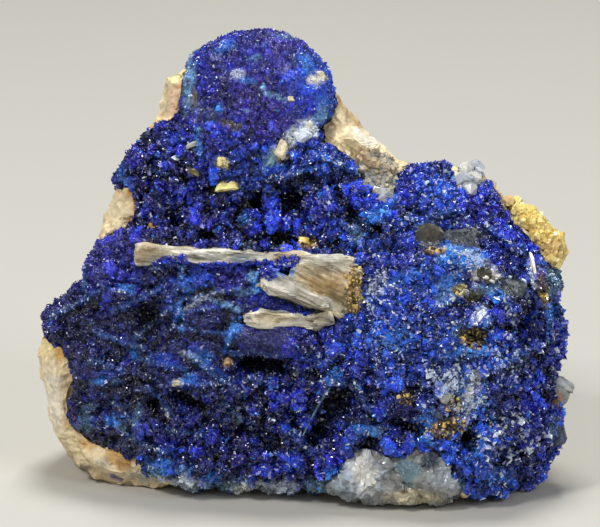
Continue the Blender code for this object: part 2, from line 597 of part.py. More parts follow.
def seated_lumps(edge, radius, height, count, seed):
    """Random heads that crowd a small patch."""
    loop = np.array(edge, float)
    chance = random.Random(SEED + seed)
    lumps = []
    for place in scattered(loop, 800, chance):
        size = radius * chance.uniform(0.7, 1.25)
        if inside(place[None], loop)[0] < 0.5 * size or len(lumps) == count:
            continue
        if all(math.dist(place, lump[:2]) > 0.75 * (size + lump[2]) for lump in lumps):
            lumps.append((place[0], place[1], size, height * chance.uniform(0.7, 1.3)))
    return lumps


def blade(name, material, stations, grow=0.0):
    """A cleaved plate: sections of (across, up, half width, front, back) joined along its run."""
    chance = random.Random(SEED + len(stations))
    middle = np.array([station[:2] for station in stations], float)
    along = np.gradient(middle, axis=0)
    along /= np.linalg.norm(along, axis=1)[:, None]
    middle[0] -= along[0] * grow
    middle[-1] += along[-1] * grow
    side = np.stack([-along[:, 1], along[:, 0]], axis=1)
    shape = bmesh.new()
    rings = []
    for place, way, (_, _, half, front, back) in zip(middle, side, stations):
        bevel = 0.35 * half
        half += grow
        profile = [
            (half, back - grow), (half, front - bevel + grow), (half - bevel, front + grow),
            (bevel - half, front - 0.25 + grow), (-half, front - 1.3 * bevel + grow), (-half, back - grow),
        ]
        flat = np.array([place + way * (offset + chance.uniform(-0.08, 0.08)) for offset, _ in profile])
        out = np.array([height + chance.uniform(-0.08, 0.08) for _, height in profile])
        rings.append([shape.verts.new(corner) for corner in placed(flat, out)])
    for ring, following in zip(rings, rings[1:]):
        join_rings(shape, ring, following)
    for ring, way in ((rings[0], -1), (rings[-1], 1)):
        heart = sum((corner.co for corner in ring), Vector()) / len(ring)
        run = rings[-1][0].co - rings[0][0].co
        tip = shape.verts.new(heart + run.normalized() * way * 0.3 * MM)
        for one, other in zip(ring, ring[1:] + ring[:1]):
            shape.faces.new((one, other, tip))
    bmesh.ops.recalc_face_normals(shape, faces=shape.faces)
    return finished(name, shape, material)


LEDGE_BLADES = [
    # The long blade along the top
    [(-27.2, 42, 1.5, 4.2, -7), (-24, 42.2, 1.55, 5, -7), (-20, 42.3, 0.85, 4.8, -7),
     (-15, 41.6, 1.4, 4.9, -7), (-10, 41.7, 1.1, 4.6, -7), (-5, 41.4, 0.8, 4.4, -7),
     (-1, 41.3, 0.8, 4.8, -7), (4, 41, 1.0, 5.6, -7), (8.6, 40.4, 1.0, 5.2, -7)],
    # The stained block at its right end
    [(-0.6, 38.6, 1.5, 4.2, -6), (2.6, 37.8, 3.6, 5.2, -6), (6, 36.8, 4.6, 5.8, -6),
     (8.6, 36, 4.3, 6.2, -6), (10.2, 35.8, 3.7, 5.4, -6)],
    # The pale blade that slants across it
    [(-6.4, 37.8, 0.7, 3.8, -5), (-3.6, 37, 1.4, 5.6, -5), (0, 35.6, 1.7, 6.6, -5),
     (3.6, 34.2, 1.5, 6.8, -5), (7, 32.8, 1.0, 6.6, -5)],
    # The lower blade
    [(-9.2, 31.6, 0.6, 4.4, -4), (-6.4, 31.6, 1.4, 6.4, -4), (-2, 31.1, 1.2, 6.9, -4),
     (2.4, 31, 1.1, 7, -4), (5.4, 31.8, 1.2, 6.9, -4)],
    # Plate that carries the draped blue patches and ties the blades together
    [(-5, 36.6, 2.2, 2.6, -6), (-2, 36, 4.4, 3, -6), (1.6, 35.6, 4.6, 3.4, -6)],
]
EDGE_BLADES = [
    [(40.6, 18.6, 2.0, -7.2, -12), (43.4, 18.4, 2.1, -7.6, -11.5), (44.8, 17.6, 1.2, -8.4, -11)],
    [(41, 21.4, 1.0, -7.6, -11), (44, 20.4, 1.2, -8, -10.8), (46, 19.6, 0.7, -8.8, -10.4)],
    [(41, 12.8, 1.7, -7.8, -12), (43.2, 12.8, 1.8, -8.4, -12), (44.6, 12.4, 1.1, -9.4, -11.6)],
]


def fused_blades(name, material, blades, grow=0.0):
    """Blades that grew through each other, as one solid."""
    node = blade(name, material, blades[0], grow)
    for stations in blades[1:]:
        other = blade(name + "_cutter", material, stations, grow)
        boolean(node, other, "UNION")
        bpy.data.objects.remove(other)
    return node


def crust_outline():
    """The crust's edge as it runs, with its small bays."""
    return resampled(CRUST_EDGE, CRUST_STEP, 0.22, 1.0)


def rock_outline(crust_edge):
    """The rock's edge, drawn in where the crust wraps over it."""
    silhouette = resampled(OUTLINE, ROCK_STEP, 0.25, 4.0)
    drawn_in = wrap_share(silhouette, crust_edge, 0.9, 2.2) * (CRUST_LIP + GAP)
    drawn_in = (np.roll(drawn_in, 1) + 2 * drawn_in + np.roll(drawn_in, -1)) / 4
    return moved_out(silhouette, -drawn_in)


def rock_front(loop, crust_edge, chance):
    """Corners of the rock's face: close together where it shows bare."""
    front = Points(loop)
    front.add(rows_inside(loop, (0.9,)), 1.6)
    front.add(rows_inside(loop, (2.4,)), 2.0)
    fill = scattered(loop, 6000, chance)
    bare = (inside(fill, loop) > 2.6) & (inside(fill, crust_edge) < 1.0)
    front.add(fill[bare], 2.2)
    front.add(fill[inside(fill, loop) > 2.6], 4.5)
    return front.kept


def rock_sides(shape, loop, ring, ring_out):
    """Broken sides that run back from the face, ring by ring."""
    for share, inset in ROCK_RINGS:
        flat = loop + (np.array(ROCK_MIDDLE) - loop) * inset
        flat += outward(loop) * (0.9 * rough(loop, 4.5, 20 + 9 * share))[:, None]
        out = ring_out + (back_depth(flat) - ring_out) * share
        out += 1.2 * rough(loop, 3.6, 30 + 9 * share)
        following = [shape.verts.new(p) for p in placed(flat, out)]
        join_rings(shape, ring, following)
        ring = following
    return ring, flat


def rock(material):
    """The baryte and quartz matrix: bare face, broken sides and a broken back."""
    crust_edge = crust_outline()
    loop = rock_outline(crust_edge)
    chance = random.Random(SEED + 1)
    front = rock_front(loop, crust_edge, chance)
    out = face(front) + 0.3 * rough(front, 1.3, 9.0)
    shape = bmesh.new()
    count = len(loop)
    corners = [shape.verts.new(p) for p in placed(front, out)]
    for triangle in covered(loop, front):
        shape.faces.new([corners[i] for i in triangle])
    ring, rim = rock_sides(shape, loop, corners[:count], out[:count])
    behind = Points(rim)
    fill = scattered(rim, 3000, chance)
    behind.add(fill[inside(fill, rim) > 2.2], BACK_SPACING)
    deep = back_depth(behind.kept) + broken(behind.kept)
    corners = ring + [shape.verts.new(p) for p in placed(behind.kept[count:], deep[count:])]
    for triangle in covered(rim, behind.kept):
        shape.faces.new([corners[i] for i in reversed(triangle)])
    return finished("host_rock", shape, material)


def back_depth(flat):
    """How far back the rock reaches: thick at the foot, thin at the crest."""
    height = np.clip((flat[:, 1] - 14) / 66, 0, 1)
    thick = BASE_THICKNESS + (CREST_THICKNESS - BASE_THICKNESS) * height**0.9
    side = np.clip(np.abs(flat[:, 0] - 2) / 44, 0, 1)
    return -thick + 9 * side**3


def broken(flat):
    """Flat breaks at different tilts and levels, as a hammered back has."""
    chance = random.Random(SEED + 2)
    seats = np.array([(chance.uniform(-44, 44), chance.uniform(0, 78)) for _ in range(BREAKS)])
    tilts = np.array([(chance.uniform(-0.3, 0.3), chance.uniform(-0.3, 0.3)) for _ in seats])
    levels = np.array([chance.uniform(-1.6, 1.6) for _ in seats])
    nearest = ((flat[:, None] - seats[None]) ** 2).sum(axis=2).argmin(axis=1)
    lean = ((flat - seats[nearest]) * tilts[nearest]).sum(axis=1)
    return levels[nearest] + lean + 0.5 * rough(flat, 3.0, 41.0)


def quartz_parts(materials, grow=0.0, lift=0.0):
    """The four quartz patches, or the room that they take."""
    foot = [(8.6, 5.6, 2.6, 2.2), (12, 7.6, 2.0, 1.8), (11.8, 3.2, 2.2, 1.8), (17, 5.4, 2.1, 1.4),
            (21.4, 7.6, 2.0, 1.8), (22.4, 4, 2.2, 1.6), (16.6, 2, 1.5, 0.9), (6, 3.4, 1.5, 1.2),
            (25.2, 2.8, 1.3, 1.0)]
    yellow = seated_lumps(YELLOW_EDGE, 1.15, 1.0, 16, 21)
    saddle = seated_lumps(SADDLE_EDGE, 1.2, 1.1, 12, 22)
    shoulder = [(28.1, 54.9, 2.0, 1.8)]
    return [
        cluster("quartz_foot", materials["quartz"], FOOT_EDGE, foot, 3.4, 1.0, grow, lift),
        cluster("yellow_quartz", materials["yellow"], YELLOW_EDGE, yellow, 6.0, 1.4, grow, lift),
        cluster("saddle_quartz", materials["smoky"], SADDLE_EDGE, saddle, 2.2, 0.8, grow, lift),
        cluster("shoulder_quartz", materials["clear"], SHOULDER_EDGE, shoulder, 2.4, 0.9, grow, lift),
    ]


def cut_by(nodes, cutters):
    """Cuts room for each cutter in every node, then drops the cutters."""
    for cutter in cutters:
        for node in nodes:
            boolean(node, cutter, "DIFFERENCE")
        bpy.data.objects.remove(cutter)


def centred(nodes):
    """Moves the origin to the middle of the underside of the whole specimen."""
    corners = np.array([corner.co[:] for node in nodes for corner in node.data.vertices])
    low, high = corners.min(axis=0), corners.max(axis=0)
    shift = Vector((-(low[0] + high[0]) / 2, -(low[1] + high[1]) / 2, -low[2]))
    for node in nodes:
        for corner in node.data.vertices:
            corner.co += shift


def main():
    """Grows the rock and its crust, cuts room for the quartz and the blades, and stands it flat."""
    for old in list(bpy.data.objects):
        bpy.data.objects.remove(old)
    blue = finish("linarite blue", (0.012, 0.02, 0.27), 0.25)
    cream = finish("baryte cream", (0.62, 0.52, 0.36), 0.7)
    tan = finish("stained baryte", (0.66, 0.56, 0.42), 0.6)
    quartzes = {
        "quartz": finish("grey quartz", (0.55, 0.6, 0.64), 0.15),
        "yellow": finish("yellow quartz", (0.72, 0.5, 0.14), 0.3),
        "smoky": finish("smoky quartz", (0.5, 0.42, 0.28), 0.2),
        "clear": finish("clear quartz", (0.62, 0.64, 0.7), 0.1),
    }
    host = rock(cream)
    crust = linarite(blue)
    cut_by([host], [linarite(blue, WIDE_GAP, CUTTER_LIFT)])
    cut_by([host, crust], quartz_parts(quartzes, WIDE_GAP, CUTTER_LIFT))
    ledge = fused_blades("baryte_ledge", tan, LEDGE_BLADES)
    cut_by([host, crust], [fused_blades("ledge_room", tan, LEDGE_BLADES, GAP)])
    flakes = fused_blades("edge_blades", tan, EDGE_BLADES)
    cut_by([host, crust], [fused_blades("flake_room", tan, EDGE_BLADES, GAP)])
    nodes = [host, crust, ledge, flakes, *quartz_parts(quartzes)]
    for node in nodes:
        cut_flat(node)
    centred(nodes)


main()
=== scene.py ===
"""Looks of a linarite specimen, built round its packed model.

Places on the crystal face are in millimetres, as in the model: across to the right, up along the
leaning face, and out towards the viewer. Meshes are in metres in the model's frame."""

import itertools
import json
import math

import bmesh
import bpy
import numpy as np
from bpy.props import FloatProperty, FloatVectorProperty, IntProperty, PointerProperty
from mathutils import Euler, Matrix, Vector

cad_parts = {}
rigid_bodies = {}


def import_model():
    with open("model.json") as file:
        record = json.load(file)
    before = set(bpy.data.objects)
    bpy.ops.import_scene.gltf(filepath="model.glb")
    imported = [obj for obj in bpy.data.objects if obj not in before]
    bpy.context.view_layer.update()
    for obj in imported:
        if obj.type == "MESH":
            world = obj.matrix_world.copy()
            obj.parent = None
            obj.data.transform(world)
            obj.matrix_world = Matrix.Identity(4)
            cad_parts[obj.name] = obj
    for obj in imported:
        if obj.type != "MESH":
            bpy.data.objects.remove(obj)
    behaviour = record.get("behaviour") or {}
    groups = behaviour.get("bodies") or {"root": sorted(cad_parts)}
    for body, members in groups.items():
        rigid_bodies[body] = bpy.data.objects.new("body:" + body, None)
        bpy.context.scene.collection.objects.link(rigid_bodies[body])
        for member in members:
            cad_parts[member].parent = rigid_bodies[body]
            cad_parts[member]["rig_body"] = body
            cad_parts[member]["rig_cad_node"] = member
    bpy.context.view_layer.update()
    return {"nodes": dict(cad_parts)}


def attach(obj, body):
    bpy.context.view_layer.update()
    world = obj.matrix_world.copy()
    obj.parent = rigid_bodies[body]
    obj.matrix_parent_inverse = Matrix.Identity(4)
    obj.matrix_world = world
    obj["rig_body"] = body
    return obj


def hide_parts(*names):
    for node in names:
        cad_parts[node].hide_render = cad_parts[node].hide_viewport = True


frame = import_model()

bl_info = {
    "name": "Linarite Specimen",
    "version": (1, 0, 0),
    "blender": (4, 5, 0),
    "location": "View3D > Sidebar > Linarite",
    "description": "Dresses the packed linarite specimen with its druse, rock, quartz and stage",
    "category": "Object",
}

MM = 0.001
LEAN = math.radians(15)  # how far the crystal face leans back
FACE_ORIGIN = (-1.1112, -22.187)  # mm: the face's own origin in the frame, right and back
SEED = 11
BRIGHTEST = 0.95  # of a tint, so that no surface is pure white
BUMP_DEPTH = 0.3 * MM
CELL_SHIFT = 512  # keeps the cells of the noise above zero
LAYER_SHIFT = 31


def tone(red, green, blue):
    """A colour given in screen values from 0 to 255, as linear light."""
    screen = np.array((red, green, blue)) / 255
    return np.where(screen <= 0.04045, screen / 12.92, ((screen + 0.055) / 1.055) ** 2.4)


TONES = {name: tone(*screen) for name, *screen in (
    ("black", 8, 9, 26), ("ink", 17, 20, 82), ("navy", 19, 27, 126), ("violet", 48, 32, 144),
    ("indigo", 34, 38, 170), ("royal", 30, 51, 196), ("cobalt", 34, 80, 208), ("azure", 56, 138, 232),
    ("sky", 122, 172, 214), ("ice", 206, 216, 228), ("teal", 92, 130, 146), ("slate", 62, 72, 92),
    ("smoke", 50, 56, 64), ("umber", 66, 62, 54), ("lavender", 150, 152, 216), ("grey", 150, 152, 150),
    ("white", 236, 232, 220), ("cream", 226, 212, 178), ("yellow", 240, 224, 150), ("honey", 228, 196, 108),
    ("tan", 196, 164, 118), ("ochre", 186, 142, 70), ("rust", 160, 106, 56), ("peach", 220, 184, 152),
    ("olive", 112, 104, 58), ("brown", 98, 76, 48),
)}

# Main tones of the druse: across, up, tone.
BASE_TONES = [
    (-9, 76, "indigo"), (-8, 70, "violet"), (-16, 70, "indigo"), (-2, 78, "violet"), (3, 72, "cobalt"),
    (3, 66, "royal"), (-6, 64, "violet"), (-13, 62, "indigo"), (-24, 61, "indigo"), (-20, 57, "indigo"),
    (-27, 55, "indigo"), (-12, 57, "cobalt"), (-4, 57, "cobalt"), (5, 57, "cobalt"), (8, 52, "royal"),
    (-21, 50, "royal"), (-14, 49, "indigo"), (-7, 48, "royal"), (1, 49, "royal"), (12, 46, "cobalt"),
    (-24, 46, "indigo"), (17, 52, "royal"), (24, 53, "cobalt"), (16, 42, "royal"), (22, 40, "cobalt"),
    (30, 50, "indigo"), (35, 43, "royal"), (40, 36, "cobalt"), (14, 34, "cobalt"), (20, 30, "cobalt"),
    (14, 25, "cobalt"), (27, 34, "royal"), (34, 32, "royal"), (40, 28, "royal"), (34, 25, "cobalt"),
    (26, 22, "cobalt"), (38, 18, "royal"), (40, 11, "royal"), (33, 8, "cobalt"), (26, 9, "cobalt"),
    (18, 15, "royal"), (9, 22, "royal"), (7, 14, "royal"), (3, 8, "indigo"), (-3, 14, "royal"),
    (-2, 24, "indigo"), (-6, 29, "navy"), (-13, 30, "navy"), (-18, 33, "navy"), (-23, 38, "navy"),
    (-31, 39, "indigo"), (-37, 33, "navy"), (-33, 27, "navy"), (-26, 30, "ink"), (-20, 25, "navy"),
    (-13, 20, "navy"), (-34, 18, "navy"), (-27, 18, "ink"), (-24, 12, "indigo"), (-16, 11, "indigo"),
    (-20, 6, "cobalt"), (-10, 8, "violet"), (-3, 6, "royal"), (-16, 15, "navy"), (-30, 12, "navy"),
]

# Coloured places in the druse: across, up, half width, half height, turn, tone, strength. The black ones
# are painted shade, and druse_relief also sinks them as pits.
PATCHES = [
    # Crest
    (-18.6, 71, 1.0, 5.4, -6, "sky", 0.7), (-17.7, 68.2, 0.8, 1.9, 10, "olive", 0.7),
    (2.6, 71.4, 1.7, 1.2, 42, "white", 0.95), (-1.5, 68, 0.5, 0.4, 0, "cream", 1.0),
    (-2.3, 73.2, 0.9, 0.3, 52, "lavender", 0.7), (-10.5, 72.2, 1.2, 0.8, 0, "ice", 0.55),
    (-7.5, 75, 1.4, 0.5, 10, "sky", 0.6), (-6.2, 70, 0.6, 0.6, 0, "sky", 0.9),
    (-4, 68.5, 2.4, 0.6, -18, "sky", 0.7), (-13.5, 66.4, 0.6, 0.8, 0, "azure", 0.9),
    (-8.6, 71, 1.8, 0.5, -10, "azure", 0.5), (4.4, 67, 1.4, 2.6, 20, "azure", 0.5),
    (-14, 75, 1.0, 0.5, 20, "lavender", 0.5), (-3, 78.6, 2.4, 0.5, -12, "sky", 0.4),
    (-16.6, 63, 0.9, 0.7, 0, "teal", 0.6), (-9, 66, 0.6, 0.4, 0, "sky", 0.5),
    (-16, 65.5, 2.4, 1.6, 0, "slate", 0.5), (-12, 77.2, 2.4, 0.8, 24, "azure", 0.45),
    (1.2, 74, 2.2, 1.2, -60, "azure", 0.5), (0.8, 63.2, 2.6, 1.8, 30, "ice", 0.95),
    (3.4, 65.4, 2.4, 1.2, 50, "sky", 0.8), (-1.6, 61.4, 2.0, 1.2, 30, "ice", 0.9),
    (-3.4, 59.3, 1.2, 1.9, -24, "cream", 0.85), (-5.3, 57.8, 0.7, 1.9, -28, "teal", 0.8),
    (-3.2, 57, 1.5, 0.5, 20, "azure", 0.5), (-11, 63.4, 1.5, 1.0, 0, "olive", 0.6),
    (-12.5, 64.2, 0.8, 0.7, 0, "olive", 0.6), (-17.8, 60.3, 1.4, 0.7, 20, "grey", 0.6),
    (-18.3, 55.8, 1.0, 0.9, 0, "olive", 0.7), (-13, 57.3, 1.3, 0.9, 0, "yellow", 0.7),
    (-12.4, 53.4, 2.2, 0.8, 5, "yellow", 0.95), (-8, 58.6, 1.4, 0.6, 0, "teal", 0.4),
    (-21, 61.5, 2.2, 1.6, 0, "cobalt", 0.35), (-17, 60.8, 0.6, 2.2, 12, "azure", 0.5),
    (-24.5, 57.6, 1.2, 1.0, 0, "black", 0.7),
    # Vug band
    (-1.2, 51.2, 2.4, 2.8, 20, "black", 0.92), (1.8, 54.4, 2.0, 0.9, 14, "black", 0.85),
    (-7, 50.8, 1.2, 2.0, 8, "black", 0.85), (-10.7, 48.4, 0.8, 1.3, 0, "black", 0.85),
    (-15.6, 45.4, 1.3, 1.1, 0, "black", 0.9), (8.6, 48.2, 1.0, 2.2, -12, "black", 0.8),
    (12.6, 46.2, 1.1, 1.0, 0, "black", 0.85), (-20.4, 47.4, 2.2, 0.7, 0, "black", 0.6),
    (-4.6, 44.6, 1.4, 1.4, 0, "black", 0.7), (-21.5, 45.2, 2.6, 1.4, 0, "black", 0.55),
    (-9.1, 47.8, 1.2, 1.2, 0, "azure", 0.3), (-6.7, 46.8, 1.2, 1.2, 0, "royal", 0.7),
    (-3.4, 46.9, 1.3, 1.2, 0, "royal", 0.7), (3.2, 50, 2.0, 2.4, 30, "indigo", 0.5),
    (9, 46, 1.5, 3.2, 20, "teal", 0.35), (12.4, 48.4, 2.2, 1.2, 20, "azure", 0.5),
    (1.2, 43.8, 1.2, 0.9, 0, "ochre", 0.95), (-8.6, 44, 1.6, 0.8, 0, "slate", 0.5),
    (-29.5, 55, 1.0, 2.4, 20, "azure", 0.35), (-30, 51, 0.6, 1.6, 0, "teal", 0.5),
    # Under and over the ledge
    (-8, 38.5, 1.4, 1.0, 0, "sky", 0.85), (-7.4, 37, 1.0, 1.0, 0, "azure", 0.9),
    (-9.6, 36, 2.0, 0.7, 0, "sky", 0.6), (-15.5, 35, 3.4, 0.5, 12, "ice", 0.55),
    (-13, 34, 2.4, 0.5, -14, "sky", 0.6), (-18.4, 33.4, 1.8, 0.4, 20, "ice", 0.4),
    (-19.2, 38.4, 1.0, 3.6, 14, "azure", 0.5), (-28.7, 36.3, 1.1, 0.9, 0, "azure", 0.6),
    (-11, 29.6, 1.4, 2.8, -24, "azure", 0.6), (-10.6, 33, 1.6, 0.7, -20, "sky", 0.6),
    (-6, 28.2, 5.4, 2.6, 4, "ink", 0.95), (-6.2, 23.4, 4.6, 1.7, -6, "black", 0.95),
    (-11, 38, 3.0, 2.2, 0, "violet", 0.6), (-17, 38, 2.6, 2.2, 0, "cobalt", 0.5),
    (-16, 31.6, 4.0, 2.0, 0, "ink", 0.6), (-20, 31.8, 0.7, 2.6, 14, "azure", 0.7),
    (-12, 24.3, 0.7, 0.7, 0, "tan", 0.95), (-25.4, 31.4, 2.6, 2.8, 20, "black", 0.55),
    (-18.5, 25.4, 2.0, 0.7, -12, "ice", 0.5), (-16.4, 25, 2.6, 1.2, -10, "azure", 0.45),
    (-20.5, 20.8, 1.2, 0.6, 10, "ice", 0.7), (-18.4, 21.4, 1.4, 0.9, 0, "azure", 0.5),
    (-22.5, 24.6, 2.2, 1.4, 0, "cobalt", 0.5), (-18.4, 17.6, 4.0, 1.2, -24, "black", 0.85),
    (-24.4, 16.8, 1.6, 1.5, 0, "black", 0.75), (-12, 13.2, 3.4, 0.9, 0, "black", 0.5),
    (-6.2, 10.8, 1.2, 1.6, 15, "black", 0.85), (-28.6, 20.5, 5.4, 0.6, 6, "black", 0.5),
    # Left and bottom
    (-33.4, 21, 1.6, 0.5, 6, "azure", 0.7), (-31.6, 22.4, 2.4, 0.8, 6, "cobalt", 0.5),
    (-27.6, 25.5, 0.8, 1.2, 0, "azure", 0.5), (-31.4, 14.2, 1.3, 1.0, 0, "azure", 0.9),
    (-29.8, 13.2, 0.9, 0.7, 0, "teal", 0.6), (-27.2, 15.4, 0.7, 1.9, -6, "sky", 0.55),
    (-36, 14, 1.4, 3.2, -16, "teal", 0.45), (-37.6, 21, 0.9, 2.6, 0, "slate", 0.6),
    (-23.5, 7, 2.4, 1.4, 0, "azure", 0.6), (-24.4, 5.6, 1.6, 0.8, 0, "teal", 0.7),
    (-19.6, 6.2, 1.4, 0.8, 0, "sky", 0.45), (-14.5, 4.8, 1.8, 0.8, 0, "azure", 0.6),
    (-9.6, 4.4, 1.6, 0.6, 0, "azure", 0.45), (-5, 4, 1.2, 0.6, 0, "teal", 0.55),
    (-28.5, 10, 2.6, 0.9, 0, "slate", 0.5), (-1, 7.4, 1.8, 1.4, 0, "cobalt", 0.6),
    (5.5, 22, 1.8, 1.2, 20, "azure", 0.6), (3.4, 24.5, 2.4, 1.2, 0, "cobalt", 0.5),
    (5.4, 17, 2.0, 5.0, -28, "black", 0.95), (2.4, 12, 0.9, 2.4, -26, "black", 0.85),
    (-9.4, 17.4, 1.1, 2.2, 10, "black", 0.75), (-3.2, 10.8, 1.0, 2.2, 10, "black", 0.75),
    (-15.4, 14.6, 1.4, 0.9, 0, "black", 0.65), (0.4, 21.6, 1.2, 1.4, 0, "black", 0.6),
    (-13.4, 8.4, 1.0, 1.3, 0, "black", 0.6), (-31.6, 25.2, 2.2, 1.0, 20, "black", 0.55),
    (-23.4, 21.2, 1.4, 0.8, 0, "black", 0.55), (-36.4, 30.4, 1.6, 1.2, 0, "black", 0.5),
    (-25.6, 52, 1.0, 1.3, 0, "black", 0.7), (-17.2, 52.4, 1.0, 1.2, 0, "black", 0.75),
    (-22.6, 48.6, 0.8, 0.9, 0, "black", 0.7), (-12.6, 52, 0.7, 0.9, 0, "black", 0.6),
    (4.8, 44.8, 1.2, 0.8, 0, "black", 0.7), (6.6, 52.2, 0.8, 1.6, -30, "black", 0.6),
    (11, 13, 3.2, 0.7, -8, "azure", 0.6), (10.8, 10.8, 2.6, 0.8, -8, "black", 0.95),
    # Dome
    (13, 46, 1.0, 0.9, 0, "black", 0.8), (18, 49.5, 1.0, 1.2, 0, "black", 0.7),
    (27.5, 41.4, 4.4, 1.6, -26, "azure", 0.75), (24.6, 41.6, 2.2, 1.4, 0, "azure", 0.6),
    (30.5, 40.6, 2.4, 1.0, -34, "ice", 0.5), (25, 38, 2.2, 1.3, 20, "azure", 0.6),
    (31.4, 36.4, 2.6, 0.9, 0, "sky", 0.7), (33, 35.4, 1.8, 0.8, 0, "azure", 0.7),
    (28.4, 35.2, 1.6, 1.1, 0, "olive", 0.75), (24, 35.2, 2.2, 1.4, 20, "sky", 0.35),
    (29.5, 32.4, 2.0, 0.5, 46, "ice", 0.6), (31, 31.4, 1.2, 1.2, 0, "sky", 0.35),
    (28.4, 28.5, 3.1, 2.5, -8, "azure", 0.6), (28.6, 28.5, 2.3, 1.7, -8, "olive", 0.95),
    (28, 29.2, 1.2, 0.8, 0, "black", 0.7), (36.8, 32, 1.0, 3.0, -28, "black", 0.92),
    (34.6, 29.6, 2.2, 0.7, -16, "black", 0.75), (17.8, 18.4, 1.1, 1.1, 0, "olive", 0.7),
    (17.6, 13.2, 2.4, 1.2, -8, "black", 0.85), (27.4, 11.6, 2.2, 1.4, 12, "black", 0.9),
    (24.6, 17.4, 1.6, 1.6, 0, "grey", 0.2), (24, 13.6, 2.4, 1.0, 12, "brown", 0.75),
    (23.6, 20.6, 1.2, 1.2, 0, "azure", 0.4), (28, 19, 3.2, 4.4, 24, "azure", 0.35),
    (21, 15, 1.6, 1.6, 0, "azure", 0.6), (20.4, 11.6, 1.8, 1.2, 0, "azure", 0.5),
    (38, 23, 4.2, 0.5, 32, "black", 0.75), (37.6, 14.6, 1.4, 2.6, 0, "indigo", 0.4),
    (24, 25.5, 2.2, 1.0, -10, "azure", 0.35), (30, 10, 1.6, 2.2, 0, "azure", 0.4),
    (33.4, 5, 2.4, 1.2, 0, "azure", 0.35), (26, 3.8, 1.8, 1.0, 0, "teal", 0.5),
    (18, 38.4, 3.4, 1.0, 20, "azure", 0.35), (16.4, 28, 3.2, 2.2, 0, "azure", 0.4),
    (20, 33, 2.4, 2.0, 0, "black", 0.25), (19, 25, 2.6, 3.0, 20, "navy", 0.45),
    # The white and ice patches at (28.6, 20.6), (24.2, 20.4) and (12.4, 37.4) are painted highlights.
    (28.6, 20.6, 0.8, 2.6, -24, "white", 0.85), (24.2, 20.4, 1.4, 0.7, 10, "ice", 0.7),
    (29.8, 32, 0.7, 1.5, -30, "ice", 0.7), (12.4, 37.4, 0.6, 1.4, -30, "ice", 0.6),
    (28.8, 26, 2.6, 0.8, 0, "azure", 0.7), (30, 42, 2.0, 0.7, -30, "sky", 0.6),
    # Dark windows and their rims
    (22, 45, 2.5, 2.2, 0, "smoke", 1.0), (27.2, 44.9, 3.4, 1.4, 4, "smoke", 1.0),
    (30.4, 38.6, 2.4, 1.4, -26, "umber", 0.9), (35.2, 36.2, 2.2, 1.5, -10, "smoke", 1.0),
    (22.4, 42.6, 2.0, 0.5, 0, "tan", 0.8), (29.2, 38.8, 0.8, 1.4, -20, "white", 0.7),
    (32.2, 38.8, 1.6, 0.5, -30, "white", 0.8), (26.4, 36.2, 1.0, 1.0, 0, "yellow", 0.7),
    (21, 46.9, 2.4, 0.4, 8, "sky", 0.4), (24.6, 43, 0.5, 1.2, 0, "azure", 0.7),
    # Pale rim along the bottom
    (-21, 3.6, 5.5, 1.4, 0, "ice", 0.9), (-12.5, 3.2, 4.6, 1.2, 0, "teal", 0.85),
    (-4, 3.0, 5.0, 1.2, 0, "ice", 0.85), (-9, 2.6, 3.0, 0.9, 0, "white", 0.7),
    (3.4, 3.2, 3.0, 1.4, 0, "teal", 0.85), (5.4, 5.4, 1.4, 1.6, 0, "azure", 0.6),
    # Right edge and shoulder
    (42.4, 37.4, 1.6, 3.4, 0, "teal", 0.85), (41.6, 33, 1.2, 2.4, 0, "azure", 0.5),
    (38.6, 39.4, 0.5, 2.6, 8, "ice", 0.8), (40.2, 37, 0.9, 3.2, 10, "brown", 0.9),
    (40.8, 35, 0.9, 1.2, 0, "olive", 0.9), (31.8, 54, 1.2, 1.2, 0, "cobalt", 0.7),
    (42.6, 12.4, 1.2, 2.6, 0, "teal", 0.6), (15.4, 52.5, 0.9, 2.4, 0, "azure", 0.4),
]

# Smooth windows of dark quartz where no fine crystals grow: across, up, half width, half height, turn.
WINDOWS = [
    (21.6, 44.6, 2.0, 1.9, 0), (27, 44.2, 3.0, 1.6, 4), (30.2, 38.9, 1.8, 1.0, -24),
    (35.1, 36.3, 1.8, 1.2, -10),
]
